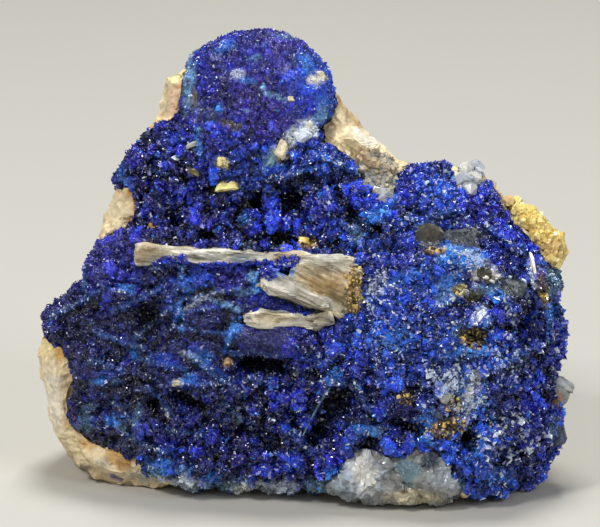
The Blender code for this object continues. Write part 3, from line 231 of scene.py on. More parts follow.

# Make of the druse, region by region: across, up, how high its knobs, beads and slanting ribs
# stand, share of crystals painted pale as painted glints, and size of the crystals.
REGIONS = [
    (-7, 75, 0.15, 0.25, 0, 0.04, 0.8), (-7, 66, 0.15, 0.28, 0, 0.03, 0.8),
    (-16, 64, 0.3, 0.4, 0, 0.02, 0.9), (2, 70, 0.15, 0.25, 0, 0.03, 0.8),
    (-24, 58, 0.7, 0.45, 0, 0.03, 1.4), (-20, 51, 1.0, 0.35, 0, 0.05, 1.4),
    (-10, 50, 1.0, 0.35, 0, 0.05, 1.4), (-2, 48, 0.9, 0.35, 0, 0.06, 1.4), (4, 50, 0.8, 0.4, 0, 0.08, 1.54),
    (-8, 58, 0.5, 0.45, 0, 0.03, 0.9), (6, 57, 0.6, 0.4, 0, 0.05, 1.0), (12, 48, 0.7, 0.4, 0, 0.04, 1.4),
    (-20, 38, 0.4, 0.3, 0.3, 0.04, 0.75), (-15, 33, 0.3, 0.25, 0.35, 0.06, 0.65),
    (-6, 28, 0.1, 0.15, 0.3, 0.02, 0.5), (-30, 40, 0.5, 0.3, 0.3, 0.03, 0.75),
    (-38, 31, 0.6, 0.35, 0.15, 0.02, 0.85), (-30, 29, 0.4, 0.3, 0.35, 0.02, 0.7),
    (-18, 23, 0.3, 0.25, 0.5, 0.08, 0.7), (-30, 20, 0.5, 0.35, 0.3, 0.04, 0.8),
    (-33, 14, 0.6, 0.35, 0.2, 0.05, 0.85), (-20, 10, 0.8, 0.45, 0.1, 0.05, 1.4),
    (-10, 12, 1.0, 0.45, 0, 0.08, 1.4), (-2, 18, 1.0, 0.4, 0, 0.08, 1.4), (5, 24, 0.6, 0.4, 0, 0.12, 1.1),
    (5, 8, 0.8, 0.4, 0, 0.05, 1.4), (-12, 6, 0.8, 0.4, 0, 0.07, 1.4), (14, 44, 0.5, 0.35, 0, 0.08, 1.0),
    (22, 52, 0.5, 0.4, 0, 0.1, 1.1), (16, 34, 0.45, 0.45, 0, 0.15, 1.1), (24, 38, 0.45, 0.4, 0, 0.12, 1.0),
    (22, 28, 0.5, 0.5, 0, 0.15, 1.1), (34, 44, 0.5, 0.4, 0, 0.08, 1.1), (36, 33, 0.7, 0.4, 0, 0.08, 1.54),
    (33, 26, 0.5, 0.45, 0, 0.14, 1.1), (38, 20, 0.8, 0.5, 0, 0.06, 1.54), (27, 18, 0.5, 0.5, 0, 0.2, 1.2),
    (14, 16, 0.8, 0.4, 0, 0.08, 1.0), (24, 10, 0.9, 0.45, 0, 0.06, 1.1), (34, 8, 0.8, 0.5, 0, 0.1, 1.54),
]
BROAD_SIZE = 5.2  # mm across the broad lumps
KNOB_SIZE = 2.5
BEAD_SIZE = 1.05
GROUP_SIZE = 0.85  # mm across a group of crystals that stand alike
RIB_TURN = -24  # degrees by which the ribs fall to the right
RIDGE_RISE = 1.7  # mm
PIT_DEPTH = 1.5  # mm
LOWEST_FRONT_NORMAL = -0.3  # of crystals that still face the front

# Sharp ridges and plate edges: from (across, up) to (across, up), half width, share of the full rise.
RIDGES = [
    (-25.4, 20.1, -23.4, 18.2, 0.6, 1.0), (-23.4, 18.2, -21.7, 15.4, 0.6, 1.0),
    (-21.6, 20.8, -13.5, 20.6, 0.7, 0.8), (-26.5, 24.6, -19, 23, 0.7, 0.7),
    (-19, 25.6, -11.6, 21.2, 0.7, 0.8), (-16.4, 23.4, -9.6, 19, 0.6, 0.7),
    (-12.6, 25.9, -3, 25.3, 0.7, 0.9), (-12.4, 26, -10.9, 30, 0.6, 0.8), (-21, 30.2, -19.5, 34.6, 0.6, 0.9),
    (-19.5, 34.6, -10, 36.6, 0.6, 0.8), (-20.8, 30, -12, 29, 0.6, 0.6),
    (-18.4, 32.6, -11.4, 33.6, 0.5, 0.5), (-19.3, 41, -20.7, 36, 0.9, 0.7),
    (-33, 36.6, -27.4, 35.6, 0.5, 0.5), (-36.6, 40.4, -36, 35.6, 0.9, 0.7),
    (-42, 31.4, -33.6, 36, 0.8, 0.6), (-24.5, 40, -20.5, 40.8, 0.8, 0.7),
    (-35, 24.4, -29.6, 22.6, 0.8, 0.6), (-34.8, 20.6, -30, 21, 0.6, 0.5), (-29.5, 12.2, -22.4, 9, 0.7, 0.6),
    (7.6, 10.2, 9.6, 12.7, 0.9, 1.0), (9.6, 12.7, 12.4, 12.5, 0.9, 1.0), (12.4, 12.5, 14.2, 10.4, 0.9, 0.9),
    (4.6, 21, 9.6, 20.4, 0.8, 0.8), (9.6, 20.4, 11.2, 16, 0.8, 0.8), (30.6, 22.6, 41, 27.6, 0.9, 0.8),
    (22.6, 33.4, 29, 36.4, 0.8, 0.5), (29.4, 40.8, 36.4, 37, 0.8, 0.6), (33.8, 35, 36.2, 30.6, 0.9, 0.7),
    (25.6, 30.9, 31.4, 31, 0.6, 0.6), (25.4, 26.4, 31, 26.2, 0.6, 0.6), (37.4, 43, 38.9, 36.6, 0.5, 0.7),
    (3.4, 58.6, 9.4, 56, 0.9, 0.6), (-5.4, 54.6, 1.8, 56.2, 0.8, 0.7), (-24.4, 56, -21.6, 55.4, 0.4, 0.6),
    (26, 15.4, 29, 9.8, 0.8, 0.7), (19, 14.6, 22, 10.8, 0.8, 0.7), (20.2, 17.2, 25.4, 20.4, 0.7, 0.6),
    (-31.4, 32.6, -22.6, 36.6, 0.7, 0.6), (-27.6, 28, -21.4, 33.4, 0.7, 0.6),
    (-34, 29, -26, 26.4, 0.7, 0.6), (-31, 17.4, -26.4, 12.4, 0.7, 0.6), (-12.6, 17.4, -8.4, 13.6, 0.7, 0.7),
    (-8.4, 21.6, -2.4, 20.2, 0.8, 0.7), (-2.6, 13.4, 1.6, 9.4, 0.8, 0.7), (-22, 12.8, -16, 12.2, 0.7, 0.6),
    (12, 29.6, 18.6, 24.4, 0.8, 0.5), (17, 47.6, 26, 49.6, 0.8, 0.4), (31, 47, 36.8, 42.4, 0.8, 0.5),
]

# Painted glints, where crystals are painted pale as if they caught the light: across, up, half width,
# half height, turn, share of crystals painted pale.
GLINTS = [
    (12.6, 36, 1.6, 4.6, -20, 0.9), (27.4, 19.5, 4.4, 5.4, 30, 0.9), (23, 21.6, 2.6, 1.8, 0, 0.7),
    (29, 13, 2.0, 2.6, 0, 0.3), (32.5, 16.5, 2.4, 3.0, 0, 0.24), (14.5, 30, 2.2, 3.0, 0, 0.2),
    (27.2, 41.2, 5.4, 2.2, -26, 0.5), (20, 40, 6.0, 4.0, 20, 0.13), (18, 32, 6.5, 6.0, 0, 0.12),
    (34, 23, 6.0, 4.4, 30, 0.3), (35, 12, 7.0, 6.0, 0, 0.4), (31, 28.5, 4.0, 5.0, 0, 0.14),
    (24, 51, 6.0, 4.0, 0, 0.12), (-5, 15, 2.6, 2.4, 0, 0.16), (-10.4, 15, 1.5, 1.6, 0, 0.2),
    (-21.5, 45.4, 2.6, 1.4, 0, 0.12), (-14.6, 9, 1.8, 1.4, 0, 0.14), (-18.6, 25, 3.0, 1.6, 0, 0.16),
    (-13, 34.4, 4.5, 1.8, 0, 0.14), (-14, 24, 4.0, 2.4, -20, 0.1), (3, 46, 3.4, 4.0, 0, 0.1),
    (-3, 57, 6.0, 3.0, 10, 0.1), (7.4, 21, 3.0, 3.0, 0, 0.12), (-6, 5.6, 8.0, 2.0, 0, 0.1),
]

# Stained places on the bare rock: across, up, half width, half height, turn, tone, strength.
STAINS = [
    (-21, 68, 1.3, 4.6, -14, "peach", 0.7), (-24.6, 63.6, 2.6, 1.2, 20, "ochre", 0.5),
    (-20.8, 73, 2.6, 2.4, 0, "yellow", 0.5), (-20.4, 70.4, 0.5, 0.5, 0, "rust", 0.8),
    (4.6, 62, 1.8, 2.2, 0, "brown", 0.6), (5.6, 66, 0.7, 0.7, 0, "smoke", 0.7),
    (12, 57.6, 3.4, 1.6, -34, "ochre", 0.6), (8.4, 60.2, 2.4, 1.2, -34, "olive", 0.5),
    (8.6, 66, 1.0, 4.5, 36, "tan", 0.7), (11, 61.5, 2.6, 1.4, -44, "white", 0.6),
    (-28.4, 52.6, 1.6, 1.2, 0, "ochre", 0.85), (-30, 49.5, 1.6, 3.4, 0, "cream", 0.7),
    (-28.3, 48, 0.9, 0.9, 0, "rust", 0.7), (-24.5, 47, 1.0, 0.7, 0, "rust", 0.7),
    (-40.6, 25.6, 1.3, 1.4, 0, "ochre", 0.9), (-39.6, 21.6, 1.4, 0.5, 30, "brown", 0.7),
    (-38.8, 15, 0.9, 2.4, -10, "ochre", 0.6), (-35.6, 10.4, 1.6, 1.0, 0, "ochre", 0.7),
    (-30.8, 8, 2.6, 1.6, -20, "ochre", 0.8), (-29.5, 6.4, 1.2, 0.9, 0, "rust", 0.6),
    (-36.5, 6.2, 1.2, 0.6, -20, "smoke", 0.7), (-42.5, 27.5, 1.6, 3.0, 0, "yellow", 0.45),
    (-41.6, 18, 1.6, 6.0, 6, "white", 0.5), (-33.4, 7, 2.2, 0.9, -24, "grey", 0.5),
    (-25.4, 4.6, 3.4, 1.2, 0, "teal", 0.5), (-10, 3.4, 9.0, 0.8, 0, "teal", 0.4),
    (-31, 4.5, 1.6, 0.6, -28, "navy", 0.9), (3, 2.6, 4.0, 1.0, 0, "teal", 0.35),
]

# Stains on the ledge: across, up, half width, half height, turn, tone, strength.
LEDGE_STAINS = [
    (-25, 42.4, 3.4, 1.6, 0, "tan", 0.5), (-13, 41.6, 6.0, 0.8, -2, "grey", 0.55),
    (-18, 41.6, 1.4, 0.4, 0, "brown", 0.5), (-2, 41.8, 4.5, 1.0, 0, "tan", 0.55),
    (5, 37.6, 4.4, 2.8, -10, "tan", 0.8), (1, 38.2, 1.5, 0.8, -30, "ochre", 0.7),
    (3.4, 36.6, 2.6, 1.0, -24, "olive", 0.6), (8.6, 36, 1.6, 4.4, 0, "ochre", 0.7),
    (5.4, 35.8, 4.6, 1.7, -16, "ochre", 0.5), (7.4, 34.4, 2.6, 1.4, -20, "olive", 0.7),
    (3, 41, 5.5, 0.8, -3, "white", 0.6), (-11.5, 42.4, 5, 0.7, -2, "white", 0.6),
    (-22, 43.2, 2.4, 0.6, -4, "white", 0.4), (-21.4, 40.8, 3.0, 1.0, 3, "cobalt", 0.85),
    (-13.5, 40.3, 3.4, 0.8, 0, "royal", 0.85), (-19.6, 41.4, 0.5, 1.0, -16, "cobalt", 0.7),
    (-9.4, 41.4, 2.4, 0.8, -10, "sky", 0.4), (-15, 42, 3.0, 0.6, 6, "slate", 0.3),
    (9.4, 33.6, 1.4, 1.8, 0, "brown", 0.8), (8.8, 38.2, 0.9, 1.4, 0, "brown", 0.6),
    (-1, 36.6, 3.4, 0.9, -22, "white", 0.8), (3.6, 34.2, 3.4, 0.8, -22, "white", 0.7),
    (-4, 32, 3.4, 0.9, 0, "cream", 0.8), (2.4, 31.4, 2.4, 0.8, 0, "tan", 0.7),
    (5.4, 31.2, 1.4, 0.9, 0, "grey", 0.6), (-6.6, 40.4, 3.0, 0.8, 10, "cobalt", 0.9),
    (-8.4, 40, 1.0, 0.8, 0, "sky", 0.7), (-3.4, 39.2, 2.4, 1.1, 12, "azure", 0.9),
    (-3.4, 33.2, 3.0, 0.6, -14, "azure", 0.7), (-5.4, 39.8, 1.8, 0.9, 0, "royal", 0.9),
    (2.5, 32.9, 2.4, 0.5, -16, "smoke", 0.6), (0, 35.5, 6.5, 1.3, -21, "white", 0.7),
    (-5, 31.3, 3.6, 1.2, 0, "cream", 0.6), (3.4, 31.1, 2.6, 1.2, 0, "grey", 0.5),
]

LEDGE_END = (9.2, 36, 2.0, 4.6, 0)  # the crumbly brown end of the block

# Cleaved slabs on the ledge: across, up, out, length, width, thickness, turn, and the share of its
# width that each loses to its right.
LEDGE_SLABS = [
    (-0.6, 35.8, 6.6, 12.8, 3.9, 1.8, -21, 0.62), (-2.6, 31.2, 6.8, 12.2, 2.8, 1.6, -3, 0.35),
    (4.2, 37.9, 5.2, 11.2, 5.6, 1.8, -8, -0.15), (-3.4, 38.4, 5.6, 6.4, 1.2, 1.2, -24, 0.3),
    (2.0, 40.9, 5.0, 12.5, 2.5, 1.6, -4, 0.1),
]

# Colours on the quartz at the foot: across, up, half width, half height, turn, tone, strength.
FOOT_STAINS = [
    (9.4, 5.4, 4.8, 4.6, 0, "ice", 0.95), (6, 3, 2.4, 1.4, 0, "teal", 0.3),
    (10.6, 6, 2.0, 3.6, 12, "white", 0.85), (7.4, 4.4, 0.6, 2.8, 20, "slate", 0.4),
    (9.2, 3.4, 0.5, 2.4, -12, "slate", 0.4), (18, 6.4, 2.4, 2.2, 0, "teal", 0.75),
    (21.4, 8, 1.9, 1.7, 0, "slate", 0.85), (24, 5, 2.4, 2.2, 0, "ice", 0.5),
    (19, 1.8, 5.4, 1.3, 0, "cream", 0.8), (15.2, 4, 1.0, 1.6, 0, "grey", 0.6),
    (20, 2, 0.7, 0.4, 0, "brown", 0.8), (22.4, 2.4, 0.4, 0.4, 0, "brown", 0.8),
    (17.2, 2.8, 0.5, 0.4, 0, "brown", 0.7),
]
QUARTZ_STAINS = [
    (11, 58.4, 4.6, 1.8, -34, "tan", 0.6), (9, 56.4, 1.6, 1.4, 0, "brown", 0.6),
    (12.8, 53.4, 3.2, 2.6, 0, "slate", 0.4), (14, 52, 1.2, 1.4, 0, "ice", 0.6),
    (41.4, 44, 3.4, 2.2, -30, "honey", 0.6), (37.4, 48.6, 0.7, 0.6, 0, "brown", 0.6),
    (42.6, 43, 2.4, 1.4, 0, "tan", 0.6), (35, 51.4, 0.8, 0.6, 0, "tan", 0.7),
]
BLADE_STAINS = [
    (43, 17.4, 1.2, 2.0, 0, "rust", 0.7), (44.6, 20.4, 1.6, 0.8, -24, "ice", 0.5),
    (43.2, 12.8, 1.6, 2.4, 0, "teal", 0.85), (45.4, 19.4, 1.0, 0.4, -24, "white", 0.6),
]


def on_face(points):
    """Face places (across, up) and heights out, in mm, of world places in metres."""
    across = points[:, 0] / MM - FACE_ORIGIN[0]
    back = points[:, 1] / MM - FACE_ORIGIN[1]
    high = points[:, 2] / MM
    up = back * math.sin(LEAN) + high * math.cos(LEAN)
    out = high * math.sin(LEAN) - back * math.cos(LEAN)
    return np.stack([across, up], axis=1), out


def placed(across, up, out):
    """World place in metres of a face place in mm."""
    back = up * math.sin(LEAN) - out * math.cos(LEAN) + FACE_ORIGIN[1]
    high = up * math.cos(LEAN) + out * math.sin(LEAN)
    return Vector(((across + FACE_ORIGIN[0]) * MM, back * MM, high * MM))


OUTWARD = np.array((0.0, -math.cos(LEAN), math.sin(LEAN)))


def smooth_step(value):
    """0 below 0, 1 above 1, and a soft rise between."""
    value = np.clip(value, 0, 1)
    return value * value * (3 - 2 * value)


NOISE_VALUES = np.random.default_rng(SEED).uniform(-1, 1, 8192)
NOISE_STEPS = np.array((73856093, 19349663, 83492791))


def in_cells(points, size, layer):
    """Places counted in cells of the given size in mm, which may differ by axis, and their own cells."""
    places = points / MM / np.asarray(size, float) + CELL_SHIFT + LAYER_SHIFT * layer
    return places, np.floor(places).astype(np.int64)


def cell_number(cells):
    """One seeded number for each cell."""
    mixed = cells * NOISE_STEPS
    return mixed[:, 0] ^ mixed[:, 1] ^ mixed[:, 2]


def noise_value(number):
    """The random value from -1 to 1 that a number stands for."""
    return NOISE_VALUES[number % len(NOISE_VALUES)]


def noise_at(points, size, layer=0):
    """Smooth seeded noise from -1 to 1 in space; size, in mm, may differ by axis."""
    places, base = in_cells(points, size, layer)
    part = smooth_step(places - base)
    total = np.zeros(len(points))
    for corner in itertools.product((0, 1), repeat=3):
        total += np.where(corner, part, 1 - part).prod(axis=1) * noise_value(cell_number(base + corner))
    return total


def sway(points, size, layers):
    """Smooth seeded noise with one layer for each axis."""
    return np.stack([noise_at(points, size, layer) for layer in layers], axis=1)


def cells_at(points, size, layer=0):
    """Distances, in cells of the given size in mm, to the nearest and the next of seeded places, and
    the nearest one's own number."""
    places, base = in_cells(points, size, layer)
    near = np.full(len(points), 9.0)
    beyond = near.copy()
    number = np.zeros(len(points), np.int64)
    for corner in itertools.product((-1, 0, 1), repeat=3):
        index = cell_number(base + corner)
        jitter = np.stack([noise_value(index + step) for step in (0, 1371, 5023)], axis=1)
        apart = np.linalg.norm(places - base - corner - 0.5 - 0.42 * jitter, axis=1)
        beyond = np.minimum(beyond, np.maximum(near, apart))
        number = np.where(apart < near, index, number)
        near = np.minimum(near, apart)
    return near, beyond, number


def cell_kinds(number, count):
    """So many random values from -1 to 1 for each cell."""
    return np.stack([noise_value(number + 977 * step) for step in range(count)], axis=1)


def heads(near, beyond):
    """Round heads with narrow clefts between them: from about -1 in a cleft to 0.5 on a head."""
    rise = np.sqrt(np.clip(1 - (near / 0.8) ** 2, 0, 1))
    return rise - 0.5 - 0.5 * (1 - smooth_step((beyond - near) / 0.25))


def turned(flat, turn):
    """Face places as seen along and across a direction turned by so many degrees."""
    angle = math.radians(turn)
    along = flat[:, 0] * math.cos(angle) + flat[:, 1] * math.sin(angle)
    over = flat[:, 1] * math.cos(angle) - flat[:, 0] * math.sin(angle)
    return along, over


def ridge_reach(flat, ridge):
    """How near each face place lies to a ridge's crest: 1 on it, 0 at its foot."""
    start, end = np.array(ridge[:2]), np.array(ridge[2:4])
    span = end - start
    share = np.clip((flat - start) @ span / (span @ span), 0, 1)
    apart = np.linalg.norm(flat - start - share[:, None] * span, axis=1)
    return np.clip(1 - apart / ridge[4], 0, 1)


def reach_into(flat, place):
    """How far inside a turned oval each face place lies: 1 at its middle, 0 at its edge."""
    across, up, half_width, half_height, turn = place[:5]
    along, over = turned(flat - (across, up), turn)
    return 1 - np.hypot(along / half_width, over / half_height)


def blended(flat, seats, values):
    """Values set at a few places on the face, blended smoothly between them."""
    apart = ((flat[:, None] - np.array(seats, float)[None]) ** 2).sum(axis=2)
    weight = 1 / (apart + 4.0) ** 2
    return weight @ np.array(values, float) / weight.sum(axis=1)[:, None]


def druse_make(flat, first, past):
    """Some columns of the table of regions, blended at face places."""
    return blended(flat, [row[:2] for row in REGIONS], [row[first:past] for row in REGIONS])


def stained(tint, flat, points, patches, layer=3):
    """A tint with its coloured patches, whose edges wander."""
    wander = 0.45 * noise_at(points, 1.3, layer) + 0.35 * noise_at(points, 0.5, layer + 1)
    tint = tint.copy()
    for patch in patches:
        share = smooth_step((reach_into(flat, patch) + wander) / 0.5 + 0.3) * patch[6]
        tint += (TONES[patch[5]] - tint) * share[:, None]
    return tint


def linarite_tint(points, shade):
    """Colour of the druse, lighter or darker by a shade, before its fine speckle. The shade holds each knob's
    own tone and painted shade in the clefts; ridges get painted highlights on their crests and painted
    shadows just below them.
    """
    flat, _ = on_face(points)
    swayed = flat + 1.6 * sway(points, 2.6, (7, 8))
    base = blended(swayed, [row[:2] for row in BASE_TONES], [TONES[row[2]] for row in BASE_TONES])
    base *= np.exp(shade + 0.3 * noise_at(points, 1.3, 9))[:, None]
    base += (TONES["azure"] - base) * (0.25 * smooth_step(shade * 2 - 0.6))[:, None]
    # Painted highlights along the ridge crests, and painted shadows just below them.
    for ridge in RIDGES:
        top = smooth_step(1.6 * ridge_reach(flat, ridge) + 0.4 * noise_at(points, 0.6, 6) - 0.3)[:, None]
        painted_ridge_shadow = smooth_step(1.4 * ridge_reach(flat + (-0.3, 1.2), ridge) - 0.2)[:, None] * (1 - top)
        base += (TONES["azure"] * 0.6 - base) * 0.36 * top
        base *= 1 - 0.65 * painted_ridge_shadow
    return stained(base, flat, points, PATCHES)


def chosen(name):
    """Makes one object the only chosen and active one."""
    bpy.ops.object.select_all(action="DESELECT")
    piece = bpy.data.objects[name]
    piece.select_set(True)
    bpy.context.view_layer.objects.active = piece
    return piece


def copied_node(node, name):
    """A copy of a model node, with its loose triangles merged."""
    piece = frame["nodes"][node].copy()
    piece.data = frame["nodes"][node].data.copy()
    piece.name = piece.data.name = name
    piece.parent = None
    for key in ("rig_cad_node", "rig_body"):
        if key in piece:
            del piece[key]
    bpy.context.scene.collection.objects.link(piece)
    chosen(name)
    bpy.ops.object.mode_set(mode="EDIT")
    bpy.ops.mesh.select_all(action="SELECT")
    bpy.ops.mesh.remove_doubles(threshold=1e-6)
    bpy.ops.object.mode_set(mode="OBJECT")
    return piece


def subdivided(piece, cuts, smoothness, chosen_face=lambda middle, normal: True, rounds=0):
    """Cuts the chosen faces of a piece finer and rounds them, and then evens them out."""
    chosen(piece.name)
    bpy.ops.object.mode_set(mode="EDIT")
    bpy.context.tool_settings.mesh_select_mode = (False, False, True)
    bpy.ops.mesh.select_all(action="DESELECT")
    shape = bmesh.from_edit_mesh(piece.data)
    for one in shape.faces:
        one.select_set(bool(chosen_face(one.calc_center_median(), one.normal)))
    bmesh.update_edit_mesh(piece.data)
    bpy.ops.mesh.subdivide(number_cuts=cuts, smoothness=smoothness)
    if rounds:
        bpy.ops.mesh.select_less()
        bpy.ops.mesh.vertices_smooth(factor=0.5, repeat=rounds)
    bpy.ops.mesh.select_all(action="SELECT")
    bpy.ops.mesh.quads_convert_to_tris()
    bpy.ops.object.mode_set(mode="OBJECT")


def mesh_values(mesh, kind):
    """Places or normals of all the corners of a mesh."""
    values = np.empty(len(mesh.vertices) * 3, np.float32)
    mesh.vertices.foreach_get(kind, values)
    return values.reshape(-1, 3).astype(float)


def give_places(mesh, places):
    """Puts the corners of a mesh at new places."""
    mesh.vertices.foreach_set("co", places.astype(np.float32).ravel())
    mesh.update()


def roughened(piece, swells, least_height=None, steps=()):
    """Moves the surface in and out: soft swells and broken steps, each a pair of size and height in mm."""
    mesh = piece.data
    points, normals = mesh_values(mesh, "co"), mesh_values(mesh, "normal")
    move = np.zeros(len(points))
    for layer, (size, height) in enumerate(swells):
        move += height * noise_at(points, size, 11 + layer)
    for layer, (size, height) in enumerate(steps):
        move += height * cell_kinds(cells_at(points, size, 16 + layer)[2], 1)[:, 0]
    moved = points + normals * (move * MM)[:, None]
    if least_height is not None:
        resting = points[:, 2] < 1e-6
        moved[resting] = points[resting]
        moved[:, 2] = np.maximum(moved[:, 2], np.where(resting, 0, least_height * MM))
    give_places(mesh, moved)


def coloured(mesh, tints):
    """Gives a mesh its colours, corner by corner."""
    layer = mesh.color_attributes.new(name="tint", type="FLOAT_COLOR", domain="POINT")
    values = np.ones((len(mesh.vertices), 4), np.float32)
    values[:, :3] = tints
    layer.data.foreach_set("color", values.ravel())


def dressed(piece, material, node=None):
    """Puts a material on a finished piece and ties it to the body."""
    piece.data.materials.clear()
    piece.data.materials.append(material)
    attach(piece, "root")
    if node:
        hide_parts(node)


def face_matrix(across, up, out, turn=0.0, tip=(0.0, 0.0)):
    """Matrix that lays a shape on the face: its X runs across, its Y up and its Z out."""
    axes = Matrix(((1, 0, 0), (0, math.sin(LEAN), -math.cos(LEAN)), (0, math.cos(LEAN), math.sin(LEAN))))
    turned_axes = axes @ Euler((tip[0], tip[1], math.radians(turn))).to_matrix()
    return Matrix.Translation(placed(across, up, out)) @ turned_axes.to_4x4()


def new_block(name, cuts):
    """A cube with softened edges, cut finer, that is then shaped."""
    bpy.ops.object.select_all(action="DESELECT")
    bpy.ops.mesh.primitive_cube_add(size=1)
    piece = bpy.context.active_object
    piece.name = piece.data.name = name
    bpy.ops.object.mode_set(mode="EDIT")
    bpy.ops.mesh.select_all(action="SELECT")
    bpy.ops.mesh.bevel(offset=0.16, segments=1)
    bpy.ops.mesh.select_all(action="SELECT")
    bpy.ops.mesh.subdivide(number_cuts=cuts)
    bpy.ops.mesh.quads_convert_to_tris()
    bpy.ops.object.mode_set(mode="OBJECT")
    return piece


def settled(piece, matrix):
    """Moves a shape to its place for good, with its object at the origin."""
    piece.data.transform(matrix)
    piece.data.update()


def joined(pieces):
    """Joins pieces into the first one."""
    chosen(pieces[0].name)
    for piece in pieces:
        piece.select_set(True)
    bpy.ops.object.join()


def in_one_tone(piece, tone_name, stains):
    """Colours a piece in one tone and its stains."""
    points = mesh_values(piece.data, "co")
    tint = np.tile(TONES[tone_name], (len(points), 1))
    coloured(piece.data, stained(tint, on_face(points)[0], points, stains))


# Crystal shapes on a base of width 1 and depth 1, standing 1 high: corners, then faces.
SHARD = (
    [(-0.5, -0.4, 0), (0.5, -0.3, 0), (0.05, 0.55, 0), (0.12, 0.1, 1)],
    [(2, 1, 0), (0, 1, 3), (1, 2, 3), (2, 0, 3)],
)
WEDGE = (
    [(-0.5, -0.5, 0), (0.5, -0.5, 0), (0.5, 0.5, 0), (-0.5, 0.5, 0), (-0.3, 0.05, 0.85), (0.35, 0.1, 1)],
    [(3, 2, 1, 0), (0, 1, 5, 4), (1, 2, 5), (2, 3, 4, 5), (3, 0, 4)],
)
TABLET = (
    [(-0.5, -0.5, 0), (0.5, -0.5, 0), (0.5, 0.5, 0), (-0.5, 0.5, 0),
     (-0.45, -0.4, 0.95), (0.4, -0.42, 0.75), (0.42, 0.3, 0.8), (-0.4, 0.35, 1)],
    [(3, 2, 1, 0), (0, 1, 5, 4), (1, 2, 6, 5), (2, 3, 7, 6), (3, 0, 4, 7), (4, 5, 6, 7)],
)
CHISEL = (
    [(-0.5, -0.4, 0), (0.5, -0.4, 0), (0.5, 0.4, 0), (-0.5, 0.4, 0),
     (-0.5, -0.42, 0.6), (0.5, -0.42, 0.55), (0.5, 0.42, 0.6), (-0.5, 0.42, 0.7),
     (-0.3, 0, 1), (0.32, 0.02, 0.92)],
    [(3, 2, 1, 0), (0, 1, 5, 4), (1, 2, 6, 5), (2, 3, 7, 6), (3, 0, 4, 7),
     (4, 5, 9, 8), (5, 6, 9), (6, 7, 8, 9), (7, 4, 8)],
)
HEXAGON = [(0.5 * math.cos(math.radians(60 * i)), 0.5 * math.sin(math.radians(60 * i))) for i in range(6)]
POINT = (
    [(*corner, 0) for corner in HEXAGON] + [(*corner, 0.55) for corner in HEXAGON] + [(0.06, 0.04, 1)],
    [(5, 4, 3, 2, 1, 0)]
    + [(i, (i + 1) % 6, (i + 1) % 6 + 6, i + 6) for i in range(6)]
    + [(i + 6, (i + 1) % 6 + 6, 12) for i in range(6)],
)


def sampled(mesh, spacing, chance):
    """Random places on a mesh, about one to each small cell of space, with the normals and tints there."""
    mesh.calc_loop_triangles()
    loops = np.empty(len(mesh.loop_triangles) * 3, np.int32)
    mesh.loop_triangles.foreach_get("vertices", loops)
    loops = loops.reshape(-1, 3)
    corners = mesh_values(mesh, "co")[loops]
    cross = np.cross(corners[:, 1] - corners[:, 0], corners[:, 2] - corners[:, 0])
    area = np.linalg.norm(cross, axis=1) / 2
    count = int(6 * area.sum() / (spacing * MM) ** 2)
    picked = chance.choice(len(corners), count, p=area / area.sum())
    one, two = chance.random(count), chance.random(count)
    over = one + two > 1
    one[over], two[over] = 1 - one[over], 1 - two[over]
    triangle = corners[picked]
    points = triangle[:, 0] + one[:, None] * (triangle[:, 1] - triangle[:, 0])
    points += two[:, None] * (triangle[:, 2] - triangle[:, 0])
    cells = np.floor(points / (spacing * MM)).astype(np.int64)
    _, first = np.unique(cells, axis=0, return_index=True)
    first.sort()
    normals = cross[picked[first]]
    tints = np.empty(len(mesh.vertices) * 4, np.float32)
    mesh.color_attributes["tint"].data.foreach_get("color", tints)
    tints = tints.reshape(-1, 4)[loops[picked[first]], :3].mean(axis=1)
    return points[first], normals / np.linalg.norm(normals, axis=1)[:, None], tints


def stood(normals, lean, chance, kinds=None):
    """Directions and sides of crystals that lean from the normals; like kinds stand alike."""
    leans, spins = chance.normal(size=(2, len(normals), 3))
    if kinds is not None:
        leans = 0.4 * leans + 1.5 * kinds[:, :3]
        spins = 0.2 * spins + kinds[:, 3:6]
    axes = normals + lean * leans
    axes /= np.linalg.norm(axes, axis=1)[:, None]
    sides = np.cross(axes, spins)
    return axes, sides / np.linalg.norm(sides, axis=1)[:, None]


def crystal_array(form, points, axes, sides, widths, depths, heights):
    """Corners and faces of many crystals of one form."""
    corners, faces = np.array(form[0], float), form[1]
    others = np.cross(axes, sides)
    seats = points - axes * (heights * 0.3)[:, None]
    places = seats[:, None] + sides[:, None] * (corners[None, :, 0] * widths[:, None])[..., None]
    places += others[:, None] * (corners[None, :, 1] * depths[:, None])[..., None]
    places += axes[:, None] * (corners[None, :, 2] * heights[:, None])[..., None]
    starts = np.arange(len(points)) * len(corners)
    return places.reshape(-1, 3), [
        tuple(start + corner for corner in one) for start in starts.tolist() for one in faces
    ]


def crystal_groups(shares, forms, points, axes, sides, shape, tints):
    """Crystals of several forms, each form for its share of random numbers from 0 to 1; shape gives the
    widths, depths and heights of the chosen crystals."""
    groups = []
    for form, low, high in shares:
        mine = (forms >= low) & (forms < high)
        places, faces = crystal_array(form, points[mine], axes[mine], sides[mine], *shape(mine))
        groups.append((form, places, faces, tints[mine]))
    return groups


def crystal_piece(name, groups, material):
    """One joined mesh of crystals, each in its own colour with its own square of the map."""
    corners, faces, tints, owners = [], [], [], []
    start = crystal = 0
    for form, places, shape, colours in groups:
        places[:, 2] = np.maximum(places[:, 2], 0)
        corners.append(places)
        faces.extend(tuple(start + corner for corner in one) for one in shape)
        tints.append(np.repeat(colours, len(form[0]), axis=0))
        owners.append(np.repeat(np.arange(len(colours)) + crystal, sum(len(one) for one in form[1])))
        start += len(places)
        crystal += len(colours)
    mesh = bpy.data.meshes.new(name)
    mesh.from_pydata(np.concatenate(corners), [], faces)
    mesh.update()
    coloured(mesh, np.concatenate(tints))
    squares_map(mesh, np.concatenate(owners), crystal)
    piece = bpy.data.objects.new(name, mesh)
    bpy.context.scene.collection.objects.link(piece)
    dressed(piece, material)


